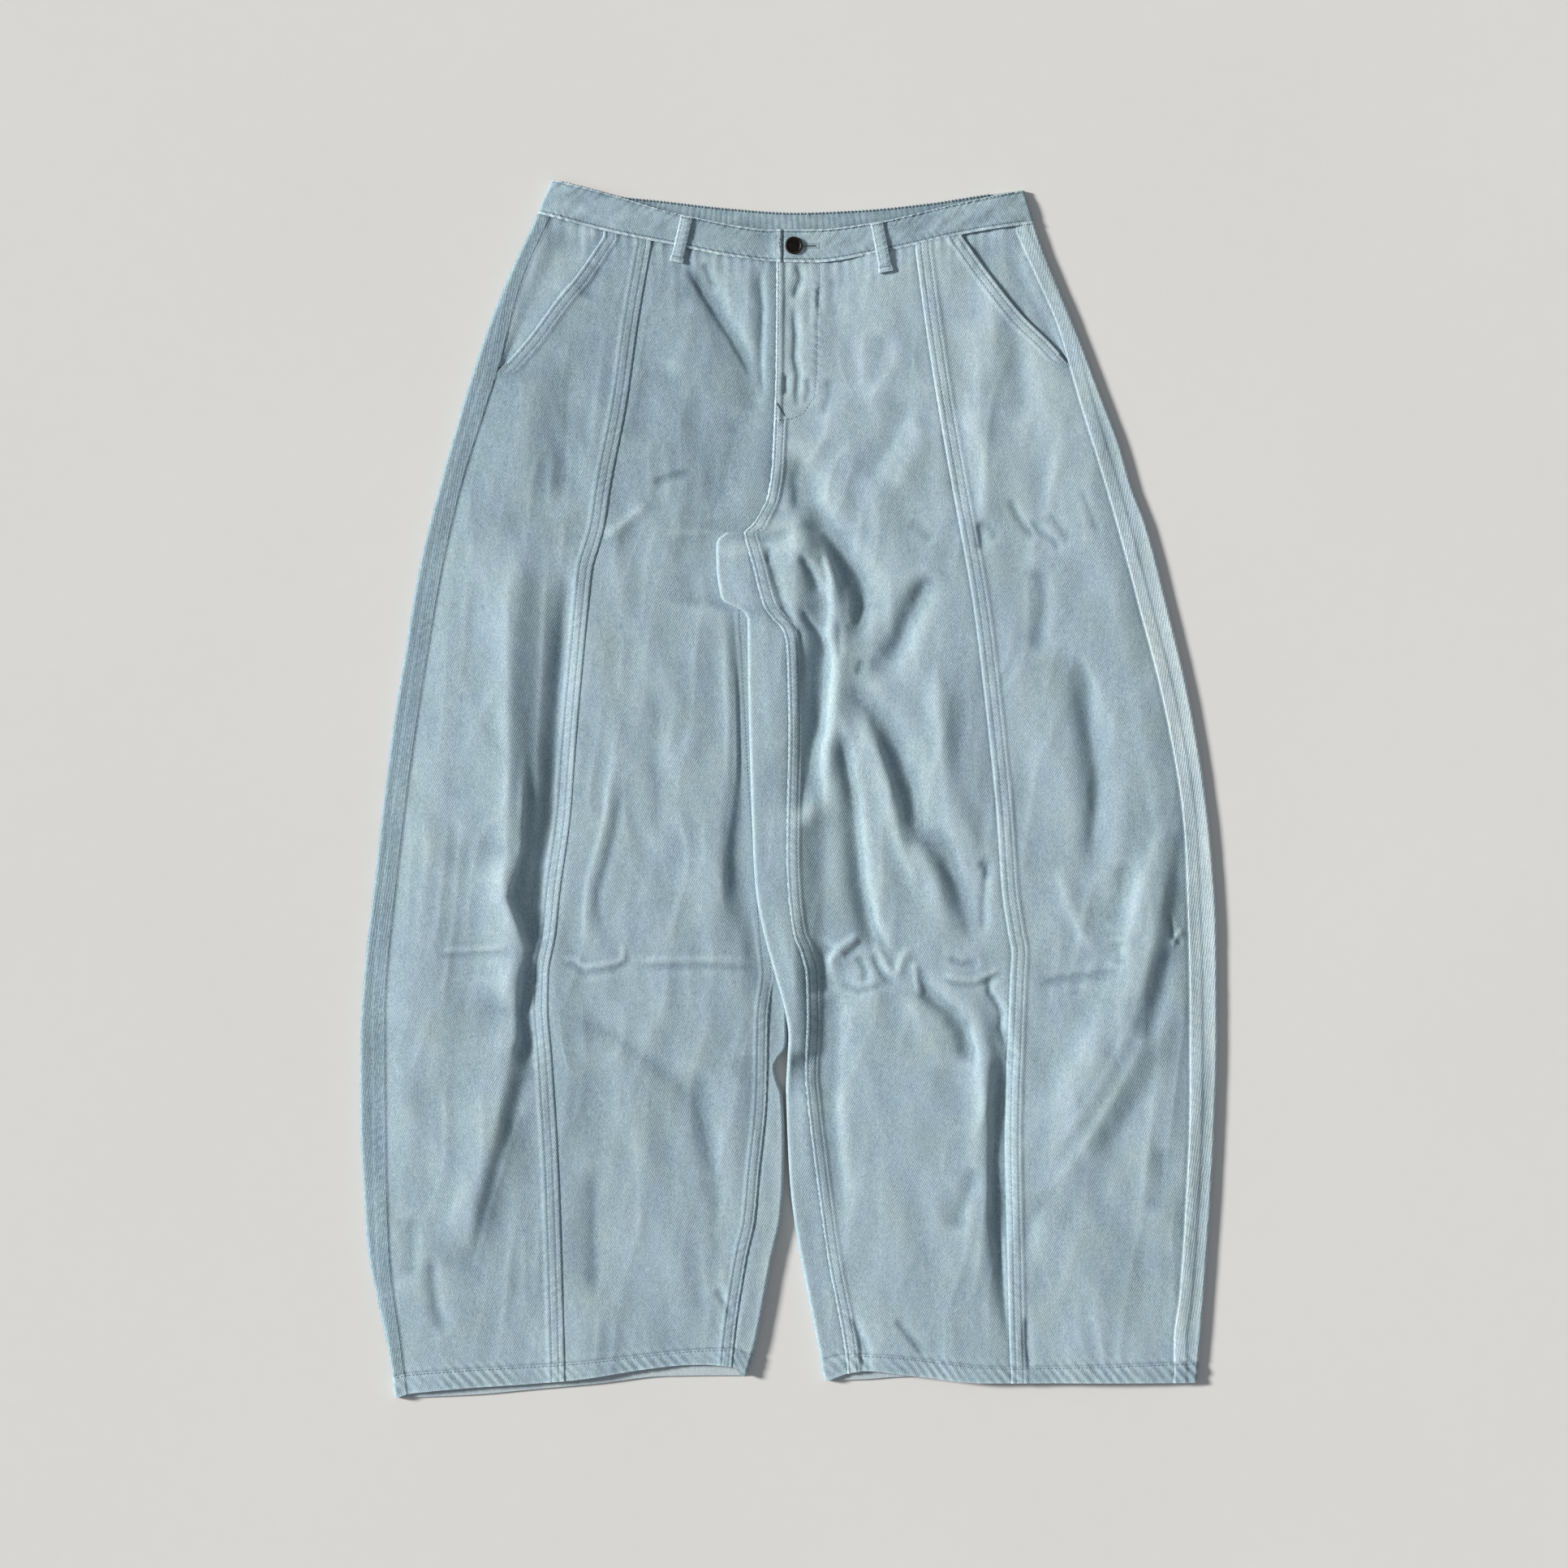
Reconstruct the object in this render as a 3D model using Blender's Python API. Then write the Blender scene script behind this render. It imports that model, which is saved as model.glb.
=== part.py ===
"""Wide-leg jeans with an elastic back waist, laid flat on their back.

Each leg is one surface, written as a function of two numbers. The first, u, runs from one
named line of the leg to the next, such as a seam or the edge of a fold. The second, n, runs
from the hem up to the waist seam. A piece of cloth is a patch of that surface with a wall
turned inwards. Lengths are in millimetres until a mesh is made. Right and left are the
wearer's, so the right leg lies at -X. +Y points to the waist and +Z up from the surface
that the jeans lie on.
"""

from collections import namedtuple

import bpy
import numpy as np

MM = 0.001

# Cloth
WALL = 1.2
HEM_WALL = 2.2
BAND_WALL = 1.8
SEAM_GAP = 0.3
LEAST_ROOM = 0.8
HEM_STEP = 0.6

# Fold edges of the flat legs
OUTER_RADIUS = 2.5
INNER_RADIUS = {"right": 3.0, "left": 2.5}
SIGN = {"right": -1.0, "left": 1.0}

# Rows: the waist seam and the hem seam are curved, and rows near them follow them
ROW_TOP = 448.0
ROW_CROTCH = 208.0
ROW_BOTTOM = -466.0
BEND_REACH = 150.0
HEM_DEPTH = 17.0
ROWS = (
    448, 430, 408, 375, 340, 305, 272, 245, 224, 208, 197, 180, 160, 149, 138, 118, 84, 45,
    5, -35, -75, -110, -135, -158, -182, -203, -216, -230, -250, -285, -325, -365, -405,
    -440, -466,
)

# The left leg lies over the right one between the crotch and the knee
OVERLAP_FLOOR = 7.1
OVERLAP_CEILING = 6.5
LIFT_EDGE = 4.0
LIFT_RAMP = 26.0
LIFT_TOP = {"under": 240.0, "over": 222.0}
MOST_HIDDEN = 64.0
CROTCH_RAMP = 31.0
KNEE_END = -245.0
KNEE_RAMP = 34.0

# Height of the upper layer where no fold crosses it, as (y, z)
PILLOW = ((448, 6.0), (380, 7.6), (300, 8.2), (209, 8.6), (100, 9.6), (-50, 10.2),
          (-150, 10.2), (-250, 9.6), (-350, 8.6), (-430, 7.4), (-466, 6.8))
OUTER_SLOPE = 45.0
INNER_SLOPE = {"right": 40.0, "left": 80.0}

# Lines of each leg as (y, x)
LINES = {
    "right": {
        "outer": ((495, -192.4), (468, -203.6), (411, -230), (345, -254.4), (246, -283.5),
                  (180, -300), (114, -311.2), (48, -321.8), (-84, -337.6), (-150, -344.9),
                  (-200, -348), (-249, -348.3), (-348, -344.2), (-381, -340.9),
                  (-414, -334.3), (-473, -322.4), (-496, -319.8)),
        "side": ((464, -193.7), (411, -217), (345, -234.6), (312, -245), (246, -265.7),
                 (180, -280.8), (48, -302.6), (-84, -319.1), (-150, -325.7), (-183, -327.4),
                 (-282, -326.7), (-381, -323.7), (-447, -315.2), (-496, -309)),
        "panel": ((442, -111.2), (378, -122.4), (312, -131.7), (246, -144.5), (213, -149.5),
                  (195, -154.5), (180, -159), (147, -162.7), (15, -174.6), (-18, -176.9),
                  (-84, -185.8), (-117, -189.1), (-150, -195), (-175, -195.6),
                  (-216, -192.4), (-315, -186.5), (-496, -181)),
        "inseam": ((430, -9.6), (345, -10.2), (279, -12.5), (260, -13.6), (239, -16.8),
                   (223, -24), (214, -30), (208, -36), (195, -35), (147, -32), (15, -24.8),
                   (-117, -15.5), (-150, -12.2), (-183, -16.2), (-249, -17.6),
                   (-315, -24), (-348, -27), (-381, -34), (-447, -43.9), (-496, -48)),
        "inner": ((230, 12), (216, 5), (208, 0.3), (150, -0.3), (-117, -1), (-205, -0.7),
                  (-211, -2.3), (-218, -7.6), (-225, -10.9), (-235, -9.2), (-249, -4.6),
                  (-282, -3), (-315, -3.3), (-348, -5.6), (-381, -12.9), (-447, -25.4),
                  (-476, -33.3)),
        "pocket": ((449, -150.2), (417, -172), (397, -188.4), (366, -211.5), (338, -236.6)),
        "back": ((450, -105), (200, -145), (0, -162), (-480, -168)),
    },
    "left": {
        "outer": ((487, 191.7), (460, 199.7), (444, 204.9), (378, 232), (312, 257.1),
                  (279, 269.6), (246, 278.9), (213, 291.4), (147, 308.6), (81, 324.4),
                  (15, 336.3), (-51, 344.2), (-117, 348.2), (-200, 348.6), (-282, 346.2),
                  (-381, 340.2), (-447, 335), (-484, 331.7)),
        "side": ((453, 184.5), (411, 203.6), (378, 218.1), (345, 228), (312, 237.3),
                 (246, 257.7), (180, 276.2), (147, 284.8), (81, 302), (15, 315.2),
                 (-18, 319.8), (-51, 322.4), (-183, 325.7), (-249, 325.7), (-348, 321.8),
                 (-414, 317.1), (-447, 313), (-486, 313)),
        "panel": ((437, 103.3), (378, 111.2), (312, 121.4), (246, 133), (147, 150.5),
                  (81, 158.7), (-18, 169), (-84, 173.6), (-117, 178.5), (-133, 181.2),
                  (-150, 180.2), (-183, 178.9), (-282, 175.9), (-348, 177.2),
                  (-447, 179.5), (-486, 181)),
        "inseam": ((430, -9.6), (345, -10.2), (279, -12.5), (260, -13.6), (239, -16.8),
                   (223, -24), (214, -30), (208, -36), (194, -32.7), (180, -28.7),
                   (165, -25), (147, -19.5), (137, -12.2), (129, -5), (117, -1.7),
                   (81, -0.3), (48, 0.3), (-51, -1.7), (-84, -0.3), (-117, 4),
                   (-133, 10.2), (-150, 14.2), (-183, 15.2), (-233, 13.5), (-249, 14.9),
                   (-315, 22.8), (-381, 32), (-447, 44.5), (-473, 47.9), (-484, 48.5)),
        "inner": ((208, -51), (203, -57), (198, -58.7), (180, -58.4), (160, -55.8),
                  (153, -53.5), (148, -44), (143, -36), (137, -33.5), (81, -32.7),
                  (-51, -28.7), (-84, -26.4), (-117, -20.1), (-150, -11.2), (-183, -2.3),
                  (-200, 0), (-216, -0.7), (-249, -2.3), (-282, -1.3), (-315, 0.7),
                  (-348, 4.3), (-414, 16.2), (-473, 28), (-481, 29.4)),
        "pocket": ((449, 141), (413, 166.7), (384, 190.4), (363, 211.9), (345.5, 227.8)),
        "back": ((450, 105), (200, 145), (0, 162), (-480, 168)),
    },
}
CENTRE_BACK = 0.3
FORK_STEP = 2.0
# The left back's construction line from the fork of the legs down to the hem, as (y, x)
LEFT_FORK = ((209, 0.6), (150, 0.6), (-150, 8), (-250, 12), (-348, 20), (-490, 45))
POCKET_UNDERLAP = 5.0
POCKET_FOOT = {"right": 338.0, "left": 345.5}
FACING_DROP = 1.9

# Waist seam, band edge, hem seam and hem edge on each layer, as (x, y)
WAIST_SEAM = {
    "over": ((-203.6, 468.3), (-139.6, 451.8), (-93.4, 442.5), (-50, 433.5), (-9.6, 428.6),
             (20, 428.2), (71.6, 435.9), (150.8, 453.1), (199.7, 460.4)),
    "under": ((-203.6, 468.3), (-152.8, 456.5), (-100, 449.5), (-47, 443.6), (5.6, 440.3),
              (58.4, 442.3), (111, 447.5), (164, 455.5), (199.7, 460.4)),
}
BAND_EDGE = {
    "over": ((-192.4, 495.3), (-139.6, 481.5), (-80.2, 465), (-9.6, 454.4), (20, 454.4),
             (71.6, 460.4), (137.6, 475.5), (191.7, 486.8)),
    "under": ((-192.4, 495.3), (-152.8, 483.5), (-100, 477.5), (-47.2, 471.6), (5.6, 468.3),
              (58.4, 470.3), (111.2, 475.5), (164, 483.5), (191.7, 486.8)),
}
BAND_LEAN = ((-203.6, 11.2), (-93, 5), (-9.6, -1.8), (72, -4), (199.7, -8))
HEM_SEAM = {
    "right": {
        "over": ((-322.5, -477.5), (-309, -474.2), (-180.5, -465.6), (-46, -453.8),
                 (-30.7, -458.5)),
        "under": ((-322.5, -477.5), (-258, -475), (-206, -470.4), (-153, -465.8),
                  (-100, -460), (-47, -458.5), (-30.7, -458.5)),
    },
    "left": {
        "over": ((26, -463.5), (47.2, -459), (62.4, -459), (178.5, -468.9), (333.6, -465)),
        "under": ((26, -463.5), (58.4, -462.5), (85, -460.5), (111, -460), (150, -462),
                  (333.6, -465)),
    },
}
HEM_EDGE = {
    "right": {
        "over": ((-320, -494.5), (-310, -490.7), (-181.8, -480.2), (-70, -467),
                 (-43, -469), (-33, -476.2)),
        "under": ((-320, -494.5), (-258, -492), (-206, -487.4), (-153, -482.8),
                  (-100, -476.9), (-47, -476.2), (-33, -476.2)),
    },
    "left": {
        "over": ((29.4, -480.2), (47.2, -474.2), (61.7, -472.2), (100, -476.2),
                 (158.7, -481.9), (331.7, -481.9)),
        "under": ((29.4, -480.2), (58.4, -479.5), (84.8, -477.5), (111, -476.9),
                  (150, -478.5), (331.7, -481.9)),
    },
}

# Largest folds of the upper layer. Each runs along its path, from its hem end to its waist
# end, and has a height (a trough's is negative) and a reach to its left and its right.
Fold = namedtuple("Fold", "leg height left right path")
FOLDS = (
    Fold("right", 5.0, 34, 11, ((-265, -388), (-247, -315), (-232, -249), (-221, -175))),
    Fold("right", 5.0, 30, 11, ((-221, -185), (-216, -128), (-231, -88), (-233, -45))),
    Fold("right", 5.0, 30, 17, ((-233, -75), (-227, 28), (-223, 114), (-223, 225))),
    Fold("right", -3.0, 12, 9, ((-207, -250), (-207, -150), (-200, -90), (-187, 0),
                                (-180, 100), (-166, 190))),
    Fold("right", 2.5, 18, 9, ((-52, -130), (-59, -58), (-52, 20), (-45, 114), (-50, 160))),
    Fold("right", -2.5, 11, 9, ((-24, 290), (-36, 345), (-62, 395), (-82, 425))),
    Fold("left", -4.0, 9, 15, ((58, 124), (60, 150), (48, 177), (29, 203), (12, 226),
                               (8, 252), (7, 282))),
    Fold("left", 3.0, 12, 9, ((38, 110), (42, 147), (33, 177), (17, 201), (5, 222))),
    Fold("left", -4.5, 20, 8, ((19, -30), (21, 15), (25, 55), (28, 88), (26, 130))),
    Fold("left", 3.0, 10, 10, ((45, -30), (39, 21), (37, 61), (39, 101), (43, 138))),
    Fold("left", -3.5, 12, 5, ((84, -150), (68, -110), (60, -77), (53, -5), (45, 35),
                               (34, 66))),
    Fold("left", -4.5, 10, 15, ((150, -132), (141, -84), (128, -51), (105, -38), (95, 2),
                                (81, 38), (62, 71), (44, 95))),
    Fold("left", 3.0, 15, 9, ((133, -125), (118, -71), (95, -31), (79, 8), (65, 45),
                              (48, 75))),
    Fold("left", -2.5, 9, 12, ((56, 88), (78, 104), (90, 124), (99, 150), (116, 174))),
    Fold("left", 2.0, 12, 10, ((156, -62), (138, -25), (128, 15), (122, 61), (117, 110))),
    Fold("left", -3.0, 12, 13, ((241, -80), (251, -31), (251, 8), (244, 48), (232, 118))),
    Fold("left", 4.5, 25, 11, ((200, -314), (250, -236), (271, -196), (285, -157),
                               (296, -117), (309, -36))),
    Fold("left", -4.0, 12, 6, ((175, -395), (174, -315), (173, -269), (177, -216),
                               (164, -155))),
    Fold("left", 3.0, 17, 8, ((159, -414), (159, -348), (160, -295), (161, -190))),
    Fold("left", -2.5, 8, 8, ((148, -226), (138, -193), (124, -177), (106, -157))),
    Fold("left", -2.5, 11, 7, ((46, -355), (35, -282), (33, -216), (36, -170), (27, -134))),
)
FOLD_END = 0.22
EDGE_CALM = 12.0

# Waistband, as height of the upper layer at each x, and the button on it
BAND_HEIGHT = {
    "right": ((-203, 5.0), (-180, 6.4), (-40, 6.4), (-13, 5.0), (20, 5.0)),
    "left": ((-10, 7.1), (26, 7.1), (50, 6.4), (175, 6.4), (199, 5.0)),
}
HALF_WAIST = 203.0
BAND_WRAP = {"right": -178.0, "left": 173.0}
BAND_END = {"right": 19.0, "left": -9.6}
GATHERS = 46
GATHER_HEIGHT = 1.0
BUTTONHOLE = (1.8, 24.0)
BUTTONHOLE_ROWS = (0.42, 0.56)
BUTTON_PLACE = (4.3, 441.2)
BUTTON_SIDES = 28
# Turned profile of the button from the foot of its shank to the middle of its cap, as (r, z)
BUTTON_PROFILE = ((1.5, 5.3), (1.5, 7.5), (6.5, 7.5), (7.2, 8.1), (7.2, 8.9), (6.6, 9.6),
                  (5.6, 9.7), (4.9, 9.1), (2.5, 9.4))
BUTTON_TOP = 9.5

# Belt loops: where each starts on the band and ends below the waist seam
Loop = namedtuple("Loop", "leg top foot width")
BELT_LOOPS = {
    "belt_loop_right": Loop("right", (-82.5, 464.6), (-91, 427.5), 10.0),
    "belt_loop_left": Loop("left", (71.6, 459.6), (79.2, 419.5), 10.5),
}
LOOP_WALL = 1.8
LOOP_LIFT = 2.4
LOOP_STEPS = 10
LOOP_SEAT = 0.5
LOOP_BLEND = 2.0

# Steps over which a normal is measured, on the legs and on the waistband
LEG_PROBE = (0.02, 1.5)
BAND_PROBE = (0.01, 0.05)
SHARP_ANGLE = 50.0

# Colours in linear values, with roughness and metal
DENIM = (0.285, 0.390, 0.435, 1.0)
DENIM_DEEP = (0.240, 0.335, 0.380, 1.0)
BUTTON_BROWN = (0.018, 0.014, 0.012, 1.0)


def smooth(t):
    """An S-shaped step that is 0 below 0 and 1 above 1."""
    t = np.clip(t, 0.0, 1.0)
    return t * t * (3.0 - 2.0 * t)


def curve(points, at):
    """The smooth curve through (place, value) points, level beyond its ends."""
    place, value = np.array(sorted(points), float).T
    rise = np.diff(value) / np.diff(place)
    both = rise[:-1] + rise[1:]
    level = rise[:-1] * rise[1:] <= 0
    turning = np.where(level, 0.0, 2 * rise[:-1] * rise[1:] / np.where(level, 1.0, both))
    slope = np.concatenate([rise[:1], turning, rise[-1:]])
    at = np.clip(at, place[0], place[-1])
    i = np.clip(np.searchsorted(place, at, side="right") - 1, 0, len(place) - 2)
    span = place[i + 1] - place[i]
    t = (at - place[i]) / span
    start = value[i] * (1 + 2 * t) + slope[i] * span * t
    end = value[i + 1] * (3 - 2 * t) - slope[i + 1] * span * (1 - t)
    return start * (1 - t) ** 2 + end * t**2


def mix(a, b, t):
    return a + (b - a) * t


UNDERSIDE = {"back", "outer_under", "inner_under", "fork"}
FOLD_EDGES = {("outer_under", "outer_over"), ("inner_over", "inner_under")}


def line_x(leg, name, y):
    """Where a named line of a leg is, across, at each y."""
    lines = LINES[leg]
    if name in ("outer_under", "outer_over"):
        return curve(lines["outer"], y) - SIGN[leg] * OUTER_RADIUS
    if name in ("inner_under", "inner_over"):
        return curve(lines["inner"], y) + SIGN[leg] * INNER_RADIUS[leg]
    if name == "fork":
        if leg == "left":
            return curve(LEFT_FORK, y)
        below = curve(lines["inner"], y) - INNER_RADIUS[leg] - FORK_STEP
        return np.where(y > ROW_CROTCH + 1, CENTRE_BACK, below)
    if name in ("pocket_edge", "facing_end"):
        pocket = curve(lines["pocket"], y)
        if name == "facing_end":
            return pocket - SIGN[leg] * POCKET_UNDERLAP
        return np.where(y > POCKET_FOOT[leg], pocket, curve(lines["side"], y))
    return curve(lines[name], y)


def layer(name):
    return "under" if name in UNDERSIDE else "over"


def ends_of(leg, name):
    """x where a line meets the waist seam, and x where it meets the hem seam."""
    found = []
    for seam, y in ((WAIST_SEAM, ROW_TOP), (HEM_SEAM[leg], ROW_BOTTOM)):
        for _ in range(6):
            x = line_x(leg, name, np.float64(y))
            y = curve(seam[layer(name)], x)
        found.append(float(x))
    return found


def row_y(leg, side, top_x, bottom_x, n):
    """y of row n, for a point whose column starts at top_x and ends at bottom_x."""
    top = curve(WAIST_SEAM[side], top_x) - ROW_TOP
    bottom = curve(HEM_SEAM[leg][side], bottom_x)
    edge = curve(HEM_EDGE[leg][side], bottom_x)
    near_top = smooth((n - ROW_TOP + BEND_REACH) / BEND_REACH)
    near_bottom = smooth((ROW_BOTTOM + BEND_REACH - n) / BEND_REACH)
    above = n + top * near_top + (bottom - ROW_BOTTOM) * near_bottom
    in_hem = mix(bottom, edge, (ROW_BOTTOM - n) / HEM_DEPTH)
    return np.where(n < ROW_BOTTOM, in_hem, above)


def fold_height(fold, x, y):
    """Height that one fold adds at each point."""
    path = np.array(fold.path, float)
    step = np.diff(path, axis=0)
    length = np.hypot(step[:, 0], step[:, 1])
    total = length.sum()
    nearest = np.full(np.shape(x), np.inf)
    side = np.zeros(np.shape(x))
    along = np.zeros(np.shape(x))
    for i, (start, (dx, dy)) in enumerate(zip(path, step)):
        px, py = x - start[0], y - start[1]
        t = np.clip((px * dx + py * dy) / length[i] ** 2, 0.0, 1.0)
        distance = np.hypot(px - t * dx, py - t * dy)
        closer = distance < nearest
        nearest = np.where(closer, distance, nearest)
        side = np.where(closer, dx * py - dy * px, side)
        along = np.where(closer, (length[:i].sum() + t * length[i]) / total, along)
    reach = np.where(side > 0, fold.left, fold.right)
    taper = smooth(along / FOLD_END) * smooth((1 - along) / FOLD_END)
    return fold.height * taper * np.exp(-((nearest / reach) ** 2))


def lift(x, y, side):
    """How far a layer of the left leg is lifted by the right leg that it lies on."""
    right_edge = curve(LINES["right"]["inner"], np.minimum(y, ROW_CROTCH))
    across = 1 - smooth((x - right_edge - LIFT_EDGE) / LIFT_RAMP)
    below_crotch = smooth((LIFT_TOP[side] - y) / CROTCH_RAMP)
    above_knee = smooth((y - KNEE_END) / KNEE_RAMP)
    return OVERLAP_FLOOR * across * below_crotch * above_knee


def under_height(leg, x, y):
    """Height of the outer side of the lower layer."""
    if leg == "right":
        return np.zeros(np.shape(x))
    return lift(x, y, "under")


def over_height(leg, x, y):
    """Height of the outer side of the upper layer."""
    s = SIGN[leg]
    from_outer = s * (line_x(leg, "outer_over", y) - x)
    from_inner = s * (x - line_x(leg, "inner_over", y))
    if leg == "right":
        hidden = curve(LINES["right"]["inner"], y) - curve(LINES["left"]["inner"], y)
        from_inner = from_inner - np.clip(hidden + LIFT_EDGE, 0, MOST_HIDDEN)
    level = curve(PILLOW, y)
    below_crotch = smooth((LIFT_TOP["under"] - y) / CROTCH_RAMP)
    inner_edge = OVERLAP_CEILING if leg == "right" else 2 * INNER_RADIUS[leg]
    z = level - (level - 2 * OUTER_RADIUS) * (1 - smooth(from_outer / OUTER_SLOPE))
    z = z - (level - inner_edge) * (1 - smooth(from_inner / INNER_SLOPE[leg])) * below_crotch
    folds = sum(fold_height(fold, x, y) for fold in FOLDS if fold.leg == leg)
    calm = smooth(from_outer / EDGE_CALM)
    calm = calm * (1 - below_crotch * (1 - smooth(from_inner / EDGE_CALM)))
    z = z + folds * calm
    if leg == "left":
        z = z + lift(x, y, "over")
    return np.maximum(z, under_height(leg, x, y) + 2 * WALL + LEAST_ROOM)


def flat_stretch(leg, a, b, f, n):
    """Points on one layer, a fraction f of the way from line a to line b."""
    side = layer(b)
    (top_a, bottom_a), (top_b, bottom_b) = ends_of(leg, a), ends_of(leg, b)
    y = row_y(leg, side, mix(top_a, top_b, f), mix(bottom_a, bottom_b, f), n)
    x_a = line_x(leg, a, row_y(leg, side, top_a, bottom_a, n))
    x_b = line_x(leg, b, row_y(leg, side, top_b, bottom_b, n))
    x = mix(x_a, x_b, f)
    z = (under_height if side == "under" else over_height)(leg, x, y)
    return np.stack([x, y, z], axis=-1)


def turned_stretch(leg, a, b, f, n):
    """Points round a fold edge, a fraction f of the way from line a to line b."""
    y_a = row_y(leg, layer(a), *ends_of(leg, a), n)
    y_b = row_y(leg, layer(b), *ends_of(leg, b), n)
    y = mix(y_a, y_b, f)
    centre = line_x(leg, a, y)
    at_outer = a.startswith("outer")
    radius = OUTER_RADIUS if at_outer else -INNER_RADIUS[leg]
    angle = np.pi * (f - 0.5) * (1 if at_outer else -1)
    low, high = under_height(leg, centre, y), over_height(leg, centre, y)
    x = centre + SIGN[leg] * radius * np.cos(angle)
    z = mix(low, high, 0.5 + 0.5 * np.sin(angle))
    return np.stack([x, y, z], axis=-1)


def surface(leg, route, u, n):
    """Points on the outer side of the cloth along a route of named lines."""
    u, n = np.broadcast_arrays(np.asarray(u, float), np.asarray(n, float))
    points = np.zeros(u.shape + (3,))
    k = np.clip(np.floor(u).astype(int), 0, len(route) - 2)
    for i in np.unique(k):
        here = k == i
        stretch = turned_stretch if (route[i], route[i + 1]) in FOLD_EDGES else flat_stretch
        points[here] = stretch(leg, route[i], route[i + 1], u[here] - i, n[here])
    return points


def unit(vectors):
    return vectors / np.linalg.norm(vectors, axis=-1, keepdims=True)


def leg_normals(leg, route, u, n, rows):
    """Unit normals on the outer side of the cloth."""
    du, dn = LEG_PROBE
    across = surface(leg, route, np.minimum(u + du, len(route) - 1), n)
    across -= surface(leg, route, np.maximum(u - du, 0), n)
    up = surface(leg, route, u, np.minimum(n + dn, max(rows)))
    up -= surface(leg, route, u, np.maximum(n - dn, min(rows)))
    return unit(np.cross(across, up)) * -SIGN[leg]


def pull_in(points, edge, inner, distance):
    """Moves one edge of a patch towards the points beside it."""
    points[edge] += unit(points[inner] - points[edge]) * distance


def open_seams(points):
    """Draws all four edges of a patch in, so that neighbours stand a seam gap apart."""
    half = SEAM_GAP / 2
    pull_in(points, np.s_[:, 0], np.s_[:, 1], half)
    pull_in(points, np.s_[:, -1], np.s_[:, -2], half)
    pull_in(points, np.s_[0], np.s_[1], half)
    pull_in(points, np.s_[-1], np.s_[-2], half)


def shell(outer, inner, cells=None, ring=False):
    """Vertices and triangles of the closed wall between two grids of points."""
    rows, columns = outer.shape[:2]
    wide = columns if ring else columns - 1
    if cells is None:
        cells = np.ones((rows - 1, wide), bool)
    used = {}
    vertices = []
    faces = []

    def vertex(grid, i, j):
        key = (grid is outer, i, j % columns)
        if key not in used:
            used[key] = len(vertices)
            vertices.append(grid[i, j % columns] * MM)
        return used[key]

    def full(i, j):
        if ring:
            j %= wide
        return 0 <= i < rows - 1 and 0 <= j < wide and cells[i, j]

    for i in range(rows - 1):
        for j in range(wide):
            if not cells[i, j]:
                continue
            corners = ((i, j), (i + 1, j), (i + 1, j + 1), (i, j + 1))
            p = [outer[r, c % columns] for r, c in corners]
            turned = np.linalg.norm(p[1] - p[3]) < np.linalg.norm(p[0] - p[2])
            halves = ((0, 1, 3), (1, 2, 3)) if turned else ((0, 1, 2), (0, 2, 3))
            for half in halves:
                faces.append([vertex(outer, *corners[c]) for c in half])
                faces.append([vertex(inner, *corners[c]) for c in reversed(half)])
            beside = ((i, j - 1), (i + 1, j), (i, j + 1), (i - 1, j))
            for side, cell in enumerate(beside):
                if full(*cell):
                    continue
                a, b = corners[side], corners[(side + 1) % 4]
                a_out, b_out = vertex(outer, *a), vertex(outer, *b)
                a_in, b_in = vertex(inner, *a), vertex(inner, *b)
                faces.append([b_out, a_out, a_in])
                faces.append([b_out, a_in, b_in])
    return vertices, faces


def material(name, colour, roughness=0.9, metallic=0.0):
    made = bpy.data.materials.new(name)
    made.use_nodes = True
    shader = made.node_tree.nodes["Principled BSDF"]
    shader.inputs["Base Color"].default_value = colour
    shader.inputs["Roughness"].default_value = roughness
    shader.inputs["Metallic"].default_value = metallic
    return made


def add_piece(name, vertices, faces, colour=DENIM, roughness=0.9, metallic=0.0):
    """A mesh object, with its faces turned to point out of its wall."""
    points = np.array(vertices)
    triangles = np.array(faces)
    a, b, c = (points[triangles[:, i]] for i in range(3))
    if np.einsum("ij,ij->", a, np.cross(b, c)) < 0:
        triangles = triangles[:, ::-1]
    mesh = bpy.data.meshes.new(name)
    mesh.from_pydata(points.tolist(), [], triangles.tolist())
    mesh.shade_smooth()
    mesh.set_sharp_from_angle(angle=np.radians(SHARP_ANGLE))
    mesh.materials.append(material(name, colour, roughness, metallic))
    piece = bpy.data.objects.new(name, mesh)
    bpy.context.scene.collection.objects.link(piece)
    return piece


def cloth_piece(name, leg, route, columns, rows=ROWS, wall=WALL, drop=0.0, cells=None):
    """A patch of a leg, from one named line to another, with a wall turned inwards."""
    u, n = np.meshgrid(np.array(columns, float), np.array(rows, float))
    outer = surface(leg, route, u, n)
    normal = leg_normals(leg, route, u, n, rows)
    outer = outer - normal * drop
    inner = outer - normal * wall
    for points in (outer, inner):
        open_seams(points)
        if cells is not None:
            fork = list(columns).index(route.index("fork"))
            above = slice(0, list(rows).index(ROW_CROTCH))
            pull_in(points, np.s_[above, fork], np.s_[above, fork + 1], SEAM_GAP / 2)
    add_piece(name, *shell(outer, inner, cells))


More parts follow.
